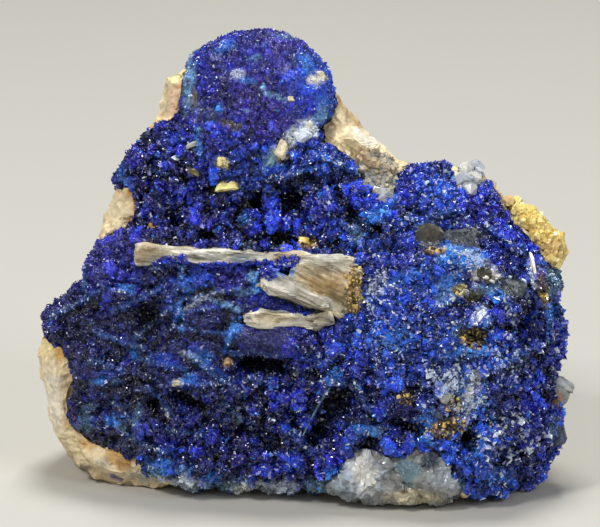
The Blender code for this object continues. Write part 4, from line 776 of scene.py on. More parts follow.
def squares_map(mesh, owners, count):
    """A map in which every crystal has one small square."""
    rows = math.ceil(math.sqrt(count))
    starts = np.empty(len(mesh.polygons), np.int32)
    mesh.polygons.foreach_get("loop_start", starts)
    sizes = np.empty(len(mesh.polygons), np.int32)
    mesh.polygons.foreach_get("loop_total", sizes)
    turn = np.arange(len(mesh.loops)) - np.repeat(starts, sizes)
    square = np.array(((0.15, 0.15), (0.85, 0.15), (0.85, 0.85), (0.15, 0.85)))
    seat = np.stack([owners % rows, owners // rows], axis=1)
    layer = mesh.uv_layers.new(name="OFBake")
    layer.data.foreach_set("uv", ((seat + square[turn % 4]) / rows).astype(np.float32).ravel())


def new_material(name):
    """A node material and its Principled shader."""
    material = bpy.data.materials.new(name)
    material.use_nodes = True
    return material, material.node_tree, material.node_tree.nodes["Principled BSDF"]


def feed(tree, node, inputs):
    """Sets a node's inputs to plain values, or links them to the sockets given for them."""
    for name, value in inputs.items():
        if isinstance(value, bpy.types.NodeSocket):
            tree.links.new(value, node.inputs[name])
        else:
            node.inputs[name].default_value = value


def add_node(tree, kind, inputs, **settings):
    """A new node with its settings and inputs; gives its outputs."""
    node = tree.nodes.new(kind)
    for name, value in settings.items():
        setattr(node, name, value)
    feed(tree, node, inputs)
    return node.outputs


def bumped(tree, strength, height, normal):
    """A normal that a height bumps."""
    inputs = {"Strength": strength, "Distance": BUMP_DEPTH, "Height": height, "Normal": normal}
    return add_node(tree, "ShaderNodeBump", inputs)["Normal"]


def grain_group():
    """Mineral grain: a tint broken into fine light and dark grains, each with its own tilt."""
    if "Mineral grain" in bpy.data.node_groups:
        return bpy.data.node_groups["Mineral grain"]
    group = bpy.data.node_groups.new("Mineral grain", "ShaderNodeTree")
    sockets = (
        ("Tint", "INPUT", "Color"), ("Grain Scale", "INPUT", "Float"), ("Contrast", "INPUT", "Float"),
        ("Tilt", "INPUT", "Float"), ("Colour", "OUTPUT", "Color"), ("Height", "OUTPUT", "Float"),
        ("Gloss", "OUTPUT", "Float"), ("Facet", "OUTPUT", "Vector"),
    )
    for name, way, kind in sockets:
        group.interface.new_socket(name=name, in_out=way, socket_type="NodeSocket" + kind)

    def math_node(operation, *inputs):
        return add_node(group, "ShaderNodeMath", dict(enumerate(inputs)), operation=operation)["Value"]

    def vector_node(operation, inputs):
        return add_node(group, "ShaderNodeVectorMath", inputs, operation=operation)["Vector"]

    given = add_node(group, "NodeGroupInput", {})
    place = add_node(group, "ShaderNodeTexCoord", {})["Object"]
    normal = add_node(group, "ShaderNodeNewGeometry", {})["Normal"]
    spread = {"Vector": place, "Scale": given["Grain Scale"]}
    grains = add_node(group, "ShaderNodeTexVoronoi", spread)["Color"]
    cloud = add_node(group, "ShaderNodeTexNoise", {"Detail": 5, **spread})["Fac"]
    grey = add_node(group, "ShaderNodeSeparateColor", {"Color": grains})
    both = math_node("ADD", grey["Red"], cloud)
    level = math_node("MULTIPLY_ADD", both, given["Contrast"], math_node("SUBTRACT", 1.0, given["Contrast"]))
    lean = vector_node("SUBTRACT", {0: grains, 1: (0.5, 0.5, 0.5)})
    tilt = vector_node("MULTIPLY_ADD", {0: lean, 1: given["Tilt"], 2: normal})
    results = {
        "Colour": vector_node("SCALE", {0: given["Tint"], "Scale": level}), "Height": both,
        "Gloss": grey["Green"], "Facet": vector_node("NORMALIZE", {0: tilt}),
    }
    add_node(group, "NodeGroupOutput", results)
    return group


def mineral(name, grains_per_metre, contrast, bump, roughness, tilt=0.0, **values):
    """A mineral finish: the mesh's own tints, broken into grains that also catch the light. Other values
    go to the shader's own sockets; a name's underscores stand for spaces."""
    material, tree, shader = new_material(name)
    tints = add_node(tree, "ShaderNodeAttribute", {}, attribute_name="tint")["Color"]
    inputs = {"Grain Scale": grains_per_metre, "Contrast": contrast, "Tilt": tilt, "Tint": tints}
    grain = add_node(tree, "ShaderNodeGroup", inputs, node_tree=grain_group())
    inputs = {"To Min": roughness[0], "To Max": roughness[1], "Value": grain["Gloss"]}
    shine = add_node(tree, "ShaderNodeMapRange", inputs)["Result"]
    normal = bumped(tree, bump, grain["Height"], grain["Facet"])
    feed(tree, shader, {"Base Color": grain["Colour"], "Roughness": shine, "Normal": normal})
    feed(tree, shader, {name.replace("_", " "): value for name, value in values.items()})
    return material


MAP_STEP = 0.3  # mm
MAP_LOW = np.array((-50.0, -4.0))
MAP_CELLS = np.array((340, 300))
FRONT_END = -16.0  # mm out, below which the front ends
FRONT_PIECES = ("linarite_skin", "rough_rock", "glassy_foot")


def blurred(grid, reach):
    """A grid softened by a bell of the given reach in mm."""
    span = np.arange(-3 * reach, 3 * reach + MAP_STEP, MAP_STEP)
    bell = np.exp(-((span / reach) ** 2) / 2)
    for axis in (0, 1):
        grid = np.apply_along_axis(np.convolve, axis, grid, bell / bell.sum(), "same")
    return grid


def front_map():
    """How far out the specimen's front stands, cell by cell, and 1 for each cell that it covers."""
    heights = np.full(MAP_CELLS, -99.0)
    for name in FRONT_PIECES:
        flat, out = on_face(mesh_values(bpy.data.objects[name].data, "co"))
        np.maximum.at(heights, map_cell(flat), out)
    cover = (heights > FRONT_END).astype(float)
    return heights * cover, cover


def front_level(flat):
    """How far out the front stands round face places, also a little past its edge."""
    heights, cover = front_map()
    cell = map_cell(flat)
    return blurred(heights, 0.6)[cell] / blurred(cover, 0.6)[cell]


def map_cell(flat):
    """The cell of the map that each face place lies in."""
    cell = np.clip((flat - MAP_LOW) / MAP_STEP, 0, MAP_CELLS - 1).astype(int)
    return cell[:, 0], cell[:, 1]


def hollows(points):
    """How sunk places on the front are among their surroundings: above 0 in hollows, below 0 on ridges."""
    heights, cover = front_map()
    flat, out = on_face(points)
    cell = map_cell(flat)
    sunk = np.zeros(len(points))
    for reach, scale, share in ((0.7, 0.3, 0.75), (2.2, 1.2, 1.0)):
        usual = blurred(heights, reach) / (blurred(cover, reach) + 1e-6)
        sunk += share * np.clip((usual[cell] - out) / scale, -0.9, 1.6)
    return sunk * smooth_step((blurred(cover, 2.4)[cell] - 0.7) / 0.2)


def painted_shade_and_light(tints, sunk, depth=1.0):
    """Tints with painted shade, darker in hollows, and painted light, brighter on ridges."""
    level = np.where(sunk > 0, np.exp(-1.7 * depth * sunk), 1 - 0.6 * depth * sunk)
    return np.clip(tints * level[:, None], 0, BRIGHTEST)


class DruseSettings(bpy.types.PropertyGroup):
    """Sizes of the linarite druse."""

    spacing: FloatProperty(
        name="Crystal Spacing", description="Distance between neighbouring fine crystals",
        default=0.00038, min=0.0002, max=0.002, unit="LENGTH", subtype="DISTANCE",
    )
    length: FloatProperty(
        name="Crystal Length", description="Usual length of a fine linarite crystal",
        default=0.0004, min=0.0002, max=0.002, unit="LENGTH", subtype="DISTANCE",
    )
    roughness: FloatProperty(
        name="Crystal Roughness", description="How dull the crystal facets are",
        default=0.2, min=0.0, max=1.0, subtype="FACTOR",
    )
    lean: FloatProperty(
        name="Crystal Disorder", description="How far crystals lean away from the surface normal",
        default=0.34, min=0.0, max=1.0, subtype="FACTOR",
    )


class RockSettings(bpy.types.PropertyGroup):
    """Colour and relief of the matrix."""

    cream: FloatVectorProperty(
        name="Rock Colour", description="Main colour of the baryte and quartz matrix",
        default=tuple(tone(218, 200, 162)), size=3, min=0, max=1, subtype="COLOR",
    )
    relief: FloatProperty(
        name="Rock Relief", description="Height of the chips and knobs on the broken rock",
        default=0.0009, min=0, max=0.003, unit="LENGTH", subtype="DISTANCE",
    )


class StageSettings(bpy.types.PropertyGroup):
    """Camera, floor and lights."""

    distance: FloatProperty(
        name="Camera Distance", description="Distance from the camera to the crystal face",
        default=0.9, min=0.2, max=3, unit="LENGTH", subtype="DISTANCE",
    )
    view_width: FloatProperty(
        name="View Width", description="Width that the picture spans at the crystal face",
        default=0.1, min=0.05, max=0.5, unit="LENGTH", subtype="DISTANCE",
    )
    floor: FloatVectorProperty(
        name="Floor Colour", description="Colour of the pale floor and backdrop",
        default=tuple(tone(184, 182, 175)), size=3, min=0, max=1, subtype="COLOR",
    )
    key_power: FloatProperty(
        name="Key Light Power", description="Power of the main light at the upper left",
        default=5.0, min=0, max=200, unit="POWER",
    )
    aim: IntProperty(
        name="Aim Height", description="Height up the face, in mm, that the camera looks at",
        default=41, min=0, max=80,
    )


def crust_is_seen(middle, normal):
    """Crown and lip of the crust, but not the floor that lies on the rock."""
    return normal.dot(Vector(OUTWARD)) > -0.35


def druse_relief(piece):
    """Knobs, beads, ribs, ridges and pits of the druse, and the shade that each corner gets from them:
    each lump's own tone, and painted shade in the clefts between lumps.
    """
    mesh = piece.data
    points = mesh_values(mesh, "co")
    flat, _ = on_face(points)
    made = druse_make(flat, 2, 5)
    plain_share = np.ones(len(points))
    for window in WINDOWS:
        plain_share *= 1 - smooth_step(reach_into(flat, window) * 3 + 0.3)
    swayed = points + 0.5 * MM * sway(points, 1.4, (61, 62, 63))
    move = np.zeros(len(points))
    for ridge in RIDGES:
        move = np.maximum(move, RIDGE_RISE * ridge[5] * ridge_reach(flat, ridge))
    # Patches painted black as painted shade are sunk here as pits.
    for patch in PATCHES:
        if patch[5] == "black":
            move -= PIT_DEPTH * patch[6] * smooth_step(reach_into(flat, patch) * 1.6 + 0.2)
    along, over = turned(flat, RIB_TURN)
    ribs = np.stack([along, over, over * 0.3], axis=1) * MM
    move += made[:, 2] * noise_at(ribs, (3.2, 0.5, 9.0), 64)
    points += OUTWARD * (move * plain_share * MM)[:, None]
    shade = np.zeros(len(points))
    broad = 1.6 * smooth_step(made[:, 0] * 2 - 0.7)
    lumps = ((broad, BROAD_SIZE, 60), (1.7 * made[:, 0], KNOB_SIZE, 65), (1.2 * made[:, 1], BEAD_SIZE, 66))
    for share, size, layer in lumps:
        give_places(mesh, points)
        normals = mesh_values(mesh, "normal")
        near, beyond, number = cells_at(swayed, size, layer)
        points += normals * (share * heads(near, beyond) * plain_share * MM)[:, None]
        # Each lump gets its own tone, and the clefts between lumps get painted shade.
        cleft = np.clip(share, 0, 1.2) * (1 - smooth_step((beyond - near) / 0.3))
        shade += 0.4 * cell_kinds(number, 1)[:, 0] - 1.1 * cleft
    points += normals * (0.12 * noise_at(points, 0.5, 67) * MM)[:, None]
    points[:, 2] = np.maximum(points[:, 2], 0)
    give_places(mesh, points)
    return shade


class LINARITE_OT_crust(bpy.types.Operator):
    """Gives the linarite crust its lumpy relief and its colours"""

    bl_idname = "linarite.crust"
    bl_label = "Dress Linarite Crust"

    def execute(self, context):
        piece = copied_node("linarite_crust", "linarite_skin")
        subdivided(piece, 2, 0.8, crust_is_seen, rounds=3)
        subdivided(piece, 1, 0.0, crust_is_seen, rounds=1)
        shade = druse_relief(piece)
        points = mesh_values(piece.data, "co")
        # The skin's colours get painted shade in hollows and painted light on ridges.
        coloured(piece.data, painted_shade_and_light(linarite_tint(points, shade), hollows(points)))
        material = mineral("linarite ground", 4600, 0.8, 0.4, (0.12, 0.5), 1.1, IOR=1.75)
        dressed(piece, material, "linarite_crust")
        return {"FINISHED"}


# The bright streaks are streaks of painted glints.
STREAK_TURN = -56  # degrees by which the bright streaks fall to the right
# Crystals of other tones: from and to, among random numbers from 0 to 1, tone, strength.
OTHER_BLUES = (
    (0.0, 0.1, "violet", 0.5), (0.1, 0.22, "cobalt", 0.5), (0.22, 0.27, "azure", 0.5),
    (0.27, 0.34, "black", 0.75),
)


def speckled(tints, flat, kinds, chance):
    """Crystal colours: bright, dark, violet and azure ones, and pale ones painted as glints where light is
    caught.
    """
    count = len(tints)
    colours = tints * np.exp(chance.normal(0.0, 0.2, count) + 0.5 * kinds[:, 0])[:, None]
    level = np.clip(tints[:, 2] / TONES["indigo"][2], 0, 1)
    kind = chance.random(count)
    blue = tints[:, 2] > 1.6 * tints[:, 0]
    for low, high, other, share in OTHER_BLUES:
        picked = blue & (kind >= low) & (kind < high)
        colours[picked] += (TONES[other] * level[picked, None] - colours[picked]) * share
    # Painted glints: pale crystals at glint places and ridge crests, in streaks, more on brighter tints.
    white = 1.4 * druse_make(flat, 5, 6)[:, 0]
    for place in GLINTS:
        white = np.maximum(white, 1.5 * place[5] * smooth_step(reach_into(flat, place) * 1.6 + 0.2))
    for ridge in RIDGES:
        white = np.maximum(white, 0.4 * smooth_step(2 * ridge_reach(flat, ridge) - 0.5))
    blue |= white > 0.3
    streaks = np.column_stack([*turned(flat, STREAK_TURN), 0 * level]) * MM
    white *= 0.25 + 1.5 * smooth_step(1.6 * noise_at(streaks, (1.5, 0.32, 9.0), 81) + 0.4)
    picked = blue & (chance.random(count) < white * (0.3 + 0.7 * level))
    pale = np.array([TONES[name] for name in ("azure", "lavender", "lavender", "ice", "ice")])
    rank = np.clip(chance.random(count) + 0.8 * (white - 0.2), 0, 0.99)
    colours[picked] += (pale[(rank[picked] * len(pale)).astype(int)] - colours[picked]) * 0.85
    return np.clip(colours, 0, BRIGHTEST), picked


DRUSE_PARTS = (
    ("crest", lambda flat: flat[:, 1] >= 56),
    ("left", lambda flat: (flat[:, 1] < 56) & (flat[:, 0] < -13)),
    ("middle", lambda flat: (flat[:, 1] < 56) & (flat[:, 0] >= -13) & (flat[:, 0] < 11)),
    ("dome", lambda flat: (flat[:, 1] < 56) & (flat[:, 0] >= 11) & (flat[:, 1] >= 27)),
    ("foot", lambda flat: (flat[:, 0] >= 11) & (flat[:, 1] < 27)),
)
CLEFT_TONE = 0.035  # tints darker than this lie in clefts, where fewer crystals show
FORM_SHARES = ((SHARD, 0.0, 0.35), (WEDGE, 0.35, 0.75), (TABLET, 0.75, 1.0))


class LINARITE_OT_crystals(bpy.types.Operator):
    """Grows the fine linarite crystals all over the crust"""

    bl_idname = "linarite.crystals"
    bl_label = "Grow Linarite Crystals"

    def execute(self, context):
        settings = context.scene.linarite_druse
        chance = np.random.default_rng(SEED)
        skin = bpy.data.objects["linarite_skin"].data
        points, normals, tints = sampled(skin, settings.spacing / MM, chance)
        flat, _ = on_face(points)
        kept = normals @ OUTWARD > LOWEST_FRONT_NORMAL
        for window in WINDOWS:
            kept &= reach_into(flat, window) + 0.2 * noise_at(points, 0.8, 2) < 0.05
        kept &= tints.max(axis=1) > chance.uniform(0, CLEFT_TONE, len(points))
        scale = druse_make(flat, 6, 7)[:, 0]
        kept &= chance.random(len(points)) < 1.15 / scale**2
        points, normals, flat, scale = points[kept], normals[kept], flat[kept], scale[kept]
        kinds = cell_kinds(cells_at(points, GROUP_SIZE, 68)[2], 7)
        # The tints carry the skin's painted shade and light; the pale crystals are painted glints.
        tints, pale = speckled(tints[kept], flat, kinds, chance)
        axes, sides = stood(normals, settings.lean, chance, kinds)
        sizes = scale * settings.length * np.exp(chance.normal(-0.05, 0.28, len(points)) + 0.15 * kinds[:, 6])
        sizes *= np.where(pale, 1.3, 1.0)
        gloss = (settings.roughness * 0.3, settings.roughness * 1.2)
        material = mineral("linarite crystal", 4200, 0.55, 0.1, gloss, 0.5, IOR=1.8)
        forms = chance.random(len(points))

        def shape(mine):
            size = sizes[mine]
            thin = np.where(pale[mine], 0.6, 1.0)
            widths = size * chance.uniform(0.5, 0.95, len(size))
            return widths, size * thin * chance.uniform(0.3, 0.65, len(size)), size

        for part, belongs in DRUSE_PARTS:
            own_forms = np.where(belongs(flat), forms, -1)
            groups = crystal_groups(FORM_SHARES, own_forms, points, axes, sides, shape, tints)
            crystal_piece("linarite_druse_" + part, groups, material)
        return {"FINISHED"}


class LINARITE_OT_host_rock(bpy.types.Operator):
    """Roughens the matrix and stains it"""

    bl_idname = "linarite.host_rock"
    bl_label = "Dress Host Rock"

    def execute(self, context):
        settings = context.scene.linarite_rock
        piece = copied_node("host_rock", "rough_rock")
        subdivided(piece, 4, 0.3, lambda middle, normal: normal.z > -0.98 or middle.z > 1e-4)
        relief = settings.relief / MM
        swells = ((5.0, 0.6 * relief), (2.2, 0.3 * relief), (1.0, 0.15 * relief), (0.5, 0.15 * relief))
        roughened(piece, swells, 0.15, ((3.4, 0.35 * relief), (1.5, 0.25 * relief)))
        points = mesh_values(piece.data, "co")
        flat, out = on_face(points)
        tint = np.tile(np.array(settings.cream), (len(points), 1))
        tint *= (1 + 0.25 * noise_at(points, 3.5, 21) + 0.15 * noise_at(points, 0.8, 22))[:, None]
        broad = smooth_step(noise_at(points, 9.0, 23) * 1.6 - 0.2)[:, None]
        tint += (TONES["tan"] - tint) * broad * 0.45
        rusty = smooth_step(noise_at(points, 5.0, 24) * 2.2 - 0.9)[:, None]
        tint += (TONES["ochre"] - tint) * rusty * 0.35
        front = out > FRONT_END
        tint[front] = stained(tint[front], flat[front], points[front], STAINS)
        coloured(piece.data, tint)
        material = mineral("cream rock", 1300, 0.35, 0.6, (0.5, 0.85))
        dressed(piece, material, "host_rock")
        return {"FINISHED"}


BLOCK_FIBRES = -27  # degrees by which the block's fibres fall to the right
LEDGE_FIBRES = -1
CLEAVAGE_SHADES = ((0.34, (0.6, 0.56, 0.48)), (0.48, (1.1, 1.09, 1.06)))  # from crack to blade


def in_block(flat):
    """Where the ledge's fibres slant."""
    return (flat[:, 1] < 40.2) & (flat[:, 0] > -7) & (flat[:, 1] > 31.8 - 0.2 * flat[:, 0])


def fibre_places(points):
    """Places along, across and out from the ledge's fibres."""
    flat, out = on_face(points)
    slants = in_block(flat)[:, None]
    straight, slanted = (np.stack(turned(flat, turn), axis=1) for turn in (LEDGE_FIBRES, BLOCK_FIBRES))
    return np.column_stack([np.where(slants, slanted, straight), out]) * MM


class LINARITE_OT_ledge(bpy.types.Operator):
    """Gives the baryte ledge its fibrous cleavage and stains"""

    bl_idname = "linarite.ledge"
    bl_label = "Dress Baryte Ledge"

    def execute(self, context):
        piece = copied_node("baryte_ledge", "fibrous_ledge")
        subdivided(piece, 7, 0.1)
        slabs = [self.slab(*row) for row in LEDGE_SLABS]
        joined([piece, *slabs])
        mesh = piece.data
        points, normals = mesh_values(mesh, "co"), mesh_values(mesh, "normal")
        flat, _ = on_face(points)
        crumbs = smooth_step(reach_into(flat, LEDGE_END) * 2)
        places = fibre_places(points)
        layer = mesh.attributes.new(name="fibre", type="FLOAT_VECTOR", domain="POINT")
        layer.data.foreach_set("vector", places.astype(np.float32).ravel())
        plates = cell_kinds(cells_at(places * (0.3, 1, 1), 1.2, 39)[2], 1)[:, 0]
        move = 0.22 * noise_at(places, (7, 0.8, 1.2), 33) + 0.14 * noise_at(places, (4, 0.36, 0.6), 34)
        move += 0.4 * noise_at(points, 1.9, 35) + 0.24 * plates
        move += crumbs * 0.7 * heads(*cells_at(points, 1.1, 36)[:2])
        give_places(mesh, points + normals * (move * MM)[:, None])
        points = mesh_values(mesh, "co")
        creamy = smooth_step(0.5 + noise_at(points, 4.0, 40))[:, None]
        tint = TONES["white"] + (TONES["cream"] - TONES["white"]) * creamy
        tint = stained(tint, flat, points, LEDGE_STAINS)
        level = 0.56 + 0.1 * noise_at(places, (6, 0.9, 1.2), 37) + 0.18 * noise_at(points, 2.2, 38)
        tint *= (level + 0.12 * plates)[:, None]
        coloured(mesh, np.clip(tint, 0, 1))
        dressed(piece, self.material(), "baryte_ledge")
        return {"FINISHED"}

    def slab(self, across, up, out, length, width, thickness, turn, taper):
        """One cleaved slab, narrower or wider to its right."""
        slab = new_block("slab", 9)
        shape = mesh_values(slab.data, "co")
        shape[:, 1] *= 1 - taper * (shape[:, 0] + 0.5)
        shape += 0.09 * sway(shape * MM, 0.26, range(round(up) + 1, round(up) + 4))
        give_places(slab.data, shape * (length, width, thickness) * MM)
        settled(slab, face_matrix(across, up, out, turn))
        return slab

    def material(self):
        """Baryte whose fibres and dark cleavage cracks run along the blade."""
        material = mineral("fibrous baryte", 1500, 0.3, 0.4, (0.3, 0.65))
        tree = material.node_tree
        shader = tree.nodes["Principled BSDF"]
        place = add_node(tree, "ShaderNodeAttribute", {}, attribute_name="fibre")["Vector"]
        drawn = add_node(tree, "ShaderNodeMapping", {"Scale": (0.12, 1.0, 0.5), "Vector": place})["Vector"]
        fibres = add_node(tree, "ShaderNodeTexNoise", {"Scale": 1700, "Detail": 4, "Vector": drawn})["Fac"]
        shade = tree.nodes.new("ShaderNodeValToRGB")
        feed(tree, shade, {"Fac": fibres})
        for element, (position, colour) in zip(shade.color_ramp.elements, CLEAVAGE_SHADES):
            element.position = position
            element.color = (*colour, 1)
        grained, normal = (shader.inputs[name].links[0].from_socket for name in ("Base Color", "Normal"))
        inputs = {"Factor": 1.0, "A": grained, "B": shade.outputs["Color"]}
        mixed = add_node(tree, "ShaderNodeMix", inputs, data_type="RGBA", blend_type="MULTIPLY")["Result"]
        feed(tree, shader, {"Base Color": mixed, "Normal": bumped(tree, 0.4, fibres, normal)})
        return material


# Node, slot, name of the bed and of its crystals, their tones, size in mm, and how clear they are.
SUGARY_QUARTZ = (
    ("yellow_quartz", "yellow_quartz", "sugary_yellow_quartz", "yellow_crystals",
     "honey", "yellow", 1.1, 0.05),
    ("saddle_quartz", "smoky_quartz", "smoky_quartz_bed", "smoky_crystals", "grey", "cream", 1.4, 0.3),
    ("shoulder_quartz", "clear_quartz", "clear_quartz_bed", "clear_crystals", "ice", "white", 2.0, 0.4),
)


class LINARITE_OT_quartz(bpy.types.Operator):
    """Dresses the quartz patches with their crystals"""

    bl_idname = "linarite.quartz"
    bl_label = "Dress Quartz"

    def execute(self, context):
        self.foot()
        for row in SUGARY_QUARTZ:
            self.sugary(*row)
        return {"FINISHED"}

    def foot(self):
        """The quartz at the foot: silvery facets, grey-blue glassy masses and a cream underside."""
        piece = copied_node("quartz_foot", "glassy_foot")
        subdivided(piece, 5, 0.0)
        roughened(piece, ((2.0, 0.25), (0.9, 0.15), (0.45, 0.08)), 0.1, ((2.6, 0.5), (1.2, 0.3)))
        in_one_tone(piece, "grey", FOOT_STAINS)
        gloss = (0.06, 0.3)
        material = mineral("glassy quartz", 800, 0.3, 0.3, gloss, 0.7, IOR=1.55, Transmission_Weight=0.25)
        dressed(piece, material, "quartz_foot")

    def sugary(self, node, slot, bed_name, crystals_name, bed_tone, tip_tone, size, clear):
        """A bed of quartz crowded with small stubby crystals, more or less see-through."""
        piece = copied_node(node, bed_name)
        subdivided(piece, 3, 0.4)
        roughened(piece, ((2.4, 0.7), (1.1, 0.4)), 0.1)
        points = mesh_values(piece.data, "co")
        tint = np.tile(TONES[bed_tone], (len(points), 1))
        tint *= (1 + 0.3 * noise_at(points, 1.6, 41))[:, None]
        coloured(piece.data, np.clip(tint, 0, 1))
        glow = {"Subsurface_Weight": 0.15, "Subsurface_Scale": MM, "Subsurface_Radius": (1.0, 0.9, 0.7)}
        name = bed_tone + " quartz bed"
        material = mineral(name, 1500, 0.25, 0.3, (0.3, 0.55), IOR=1.5, Transmission_Weight=0.15, **glow)
        dressed(piece, material, node)
        chance = np.random.default_rng(SEED + len(node))
        points, normals, _ = sampled(piece.data, 0.7 * size, chance)
        kept = normals @ OUTWARD > 0.0
        points, normals = points[kept], normals[kept]
        share = chance.random(len(points))[:, None]
        colours = TONES[bed_tone] * (1 - share) + TONES[tip_tone] * share
        colours = stained(colours, on_face(points)[0], points, QUARTZ_STAINS)
        sizes = size * MM * np.exp(chance.normal(-0.2, 0.3, len(points)))
        forms = chance.random(len(points))
        axes, sides = stood(normals, 0.6, chance)

        def shape(mine):
            return sizes[mine] * 0.9, sizes[mine] * 0.8, sizes[mine]

        shares = ((POINT, 0.0, 0.4), (CHISEL, 0.4, 1.0))
        groups = crystal_groups(shares, forms, points, axes, sides, shape, colours)
        name = tip_tone + " quartz crystal"
        material = mineral(name, 900, 0.15, 0.1, (0.2, 0.5), IOR=1.5, Transmission_Weight=clear, **glow)
        crystal_piece(crystals_name, groups, material)


class LINARITE_OT_edge_blades(bpy.types.Operator):
    """Dresses the small plates on the right edge"""

    bl_idname = "linarite.edge_blades"
    bl_label = "Dress Edge Blades"

    def execute(self, context):
        piece = copied_node("edge_blades", "cleaved_edge_blades")
        subdivided(piece, 4, 0.1)
        roughened(piece, ((2.0, 0.16), (0.7, 0.1)))
        in_one_tone(piece, "grey", BLADE_STAINS)
        material = mineral("stained blade", 1500, 0.35, 0.4, (0.25, 0.6))
        dressed(piece, material, "edge_blades")
        return {"FINISHED"}


# Patches of other crystals: name, piece they grow on, places, spacing and size in mm, tones, slot.
GROWTHS = (
    ("amber_pit_crystals", "linarite_skin",
     ((28.6, 28.4, 2.6, 2.0, -8), (24.4, 13.4, 3.4, 1.7, 12), (17.6, 18.2, 1.3, 1.2, 0),
      (26.4, 36.2, 1.1, 0.8, 0), (25.2, 17.2, 1.6, 1.6, 0), (40.6, 35.2, 0.7, 1.2, 0),
      (22.4, 42.7, 1.8, 0.5, 0), (1.6, 43.8, 1.6, 0.9, 0)),
     0.5, 0.6, ("brown", "olive", "honey", "tan", "black"), "stained_blade"),
    ("brown_crumbs", "fibrous_ledge", (LEDGE_END,), 0.45, 0.5, ("honey", "brown", "tan", "olive"), "baryte"),
    ("draped_linarite", "fibrous_ledge",
     ((-7.4, 40.2, 2.6, 1.1, 10), (-2.2, 40.6, 2.2, 1.4, 25), (-5.4, 38.8, 1.8, 1.0, 0),
      (-21.4, 40.8, 3.2, 1.2, 3), (-19.6, 41.4, 0.6, 1.0, -16), (-13.5, 40.2, 3.6, 0.8, 0),
      (-1.6, 33.0, 3.2, 0.5, -16), (-8.5, 33.4, 2.0, 0.5, -10), (-5.8, 40.4, 1.4, 0.8, 0)),
     0.34, 0.46, ("cobalt", "royal", "indigo", "navy", "navy"), "linarite"),
)

# Chips that lie on the face: across, up, length, width, half thickness, turn, tone.
CHIPS = (
    (2.7, 71.2, 3.4, 2.2, 1.5, 40, "cream"), (-1.5, 68, 1.0, 0.7, 0.6, 0, "cream"),
    (-2.3, 73.2, 1.5, 0.5, 0.4, 52, "tan"), (-12.2, 53.4, 3.6, 1.5, 1.2, 8, "yellow"),
    (-12.9, 57.7, 1.7, 1.3, 0.9, 20, "yellow"), (-3.0, 59.5, 2.0, 2.7, 0.9, -20, "cream"),
    (-4.8, 58.2, 1.1, 2.8, 1.0, -28, "teal"), (-17.8, 60.4, 1.9, 0.9, 0.7, 20, "grey"),
    (-17.6, 55.8, 1.4, 1.2, 0.8, 0, "olive"), (-12, 24.4, 1.2, 1.2, 0.9, 0, "tan"),
    (-28.6, 36.3, 1.5, 1.1, 0.5, 10, "azure"), (-20.6, 20.7, 1.9, 0.9, 0.7, 10, "cream"),
    (38.8, 39.4, 0.8, 5.0, 1.7, 8, "white"), (40.2, 37, 1.5, 5.8, 1.3, 12, "tan"),
    (0.6, 44.4, 1.8, 1.3, 1.0, 0, "honey"), (2.3, 43.4, 1.3, 1.0, 0.9, 30, "tan"),
    (-24.5, 47.1, 1.4, 0.9, 0.6, 0, "ochre"), (30.9, 38.2, 0.9, 0.7, 0.8, 20, "white"),
    (31.8, 37.6, 1.0, 0.6, 0.8, -30, "white"), (29.8, 32, 1.2, 2.0, 0.8, -40, "ice"),
    # The white chips at (-13, 10) and (-15.5, 7.8) are painted glints: white dashes where light is caught.
    (26.3, 36.4, 1.2, 0.8, 0.8, 0, "olive"), (-13, 10, 0.5, 1.2, 0.6, -30, "white"),
    (-15.5, 7.8, 1.2, 0.45, 0.6, 35, "white"), (-13.6, 66.4, 0.8, 0.9, 0.4, 0, "azure"),
    (-6.3, 69.9, 0.8, 0.6, 0.4, 0, "sky"), (0.4, 61.9, 2.6, 2.0, 1.0, 30, "ice"),
    (1.4, 63.4, 1.8, 1.4, 0.9, 60, "white"), (43.6, 29.2, 1.4, 1.0, 1.0, 0, "grey"),
    (44.0, 20.2, 4.2, 1.5, 1.3, -38, "grey"), (43.0, 12.2, 2.4, 4.4, 1.5, 12, "slate"),
    (42.6, 16.8, 1.4, 2.2, 0.9, 0, "brown"), (24.2, 18.4, 2.0, 1.6, 1.0, 30, "grey"),
    (23, 15.8, 1.6, 1.3, 0.9, -20, "slate"),
)
# Smooth dark faces of quartz that show through the druse, given as the chips are.
PANES = (
    (21.6, 44.6, 4.6, 4.4, 0.4, 0, "umber"), (27, 44.1, 6.6, 3.9, 0.4, 4, "smoke"),
    (35.1, 36.3, 4.2, 2.9, 0.4, -12, "smoke"), (30.0, 39.1, 4.0, 2.6, 0.5, -24, "umber"),
)
THIN_BLADE = ((5.3, 20.6), (2.6, 16.2), (0.2, 11.4))  # its edge, from top to foot
THIN_BLADE_WIDTH = 0.5
THIN_BLADE_DEPTH = 2.2


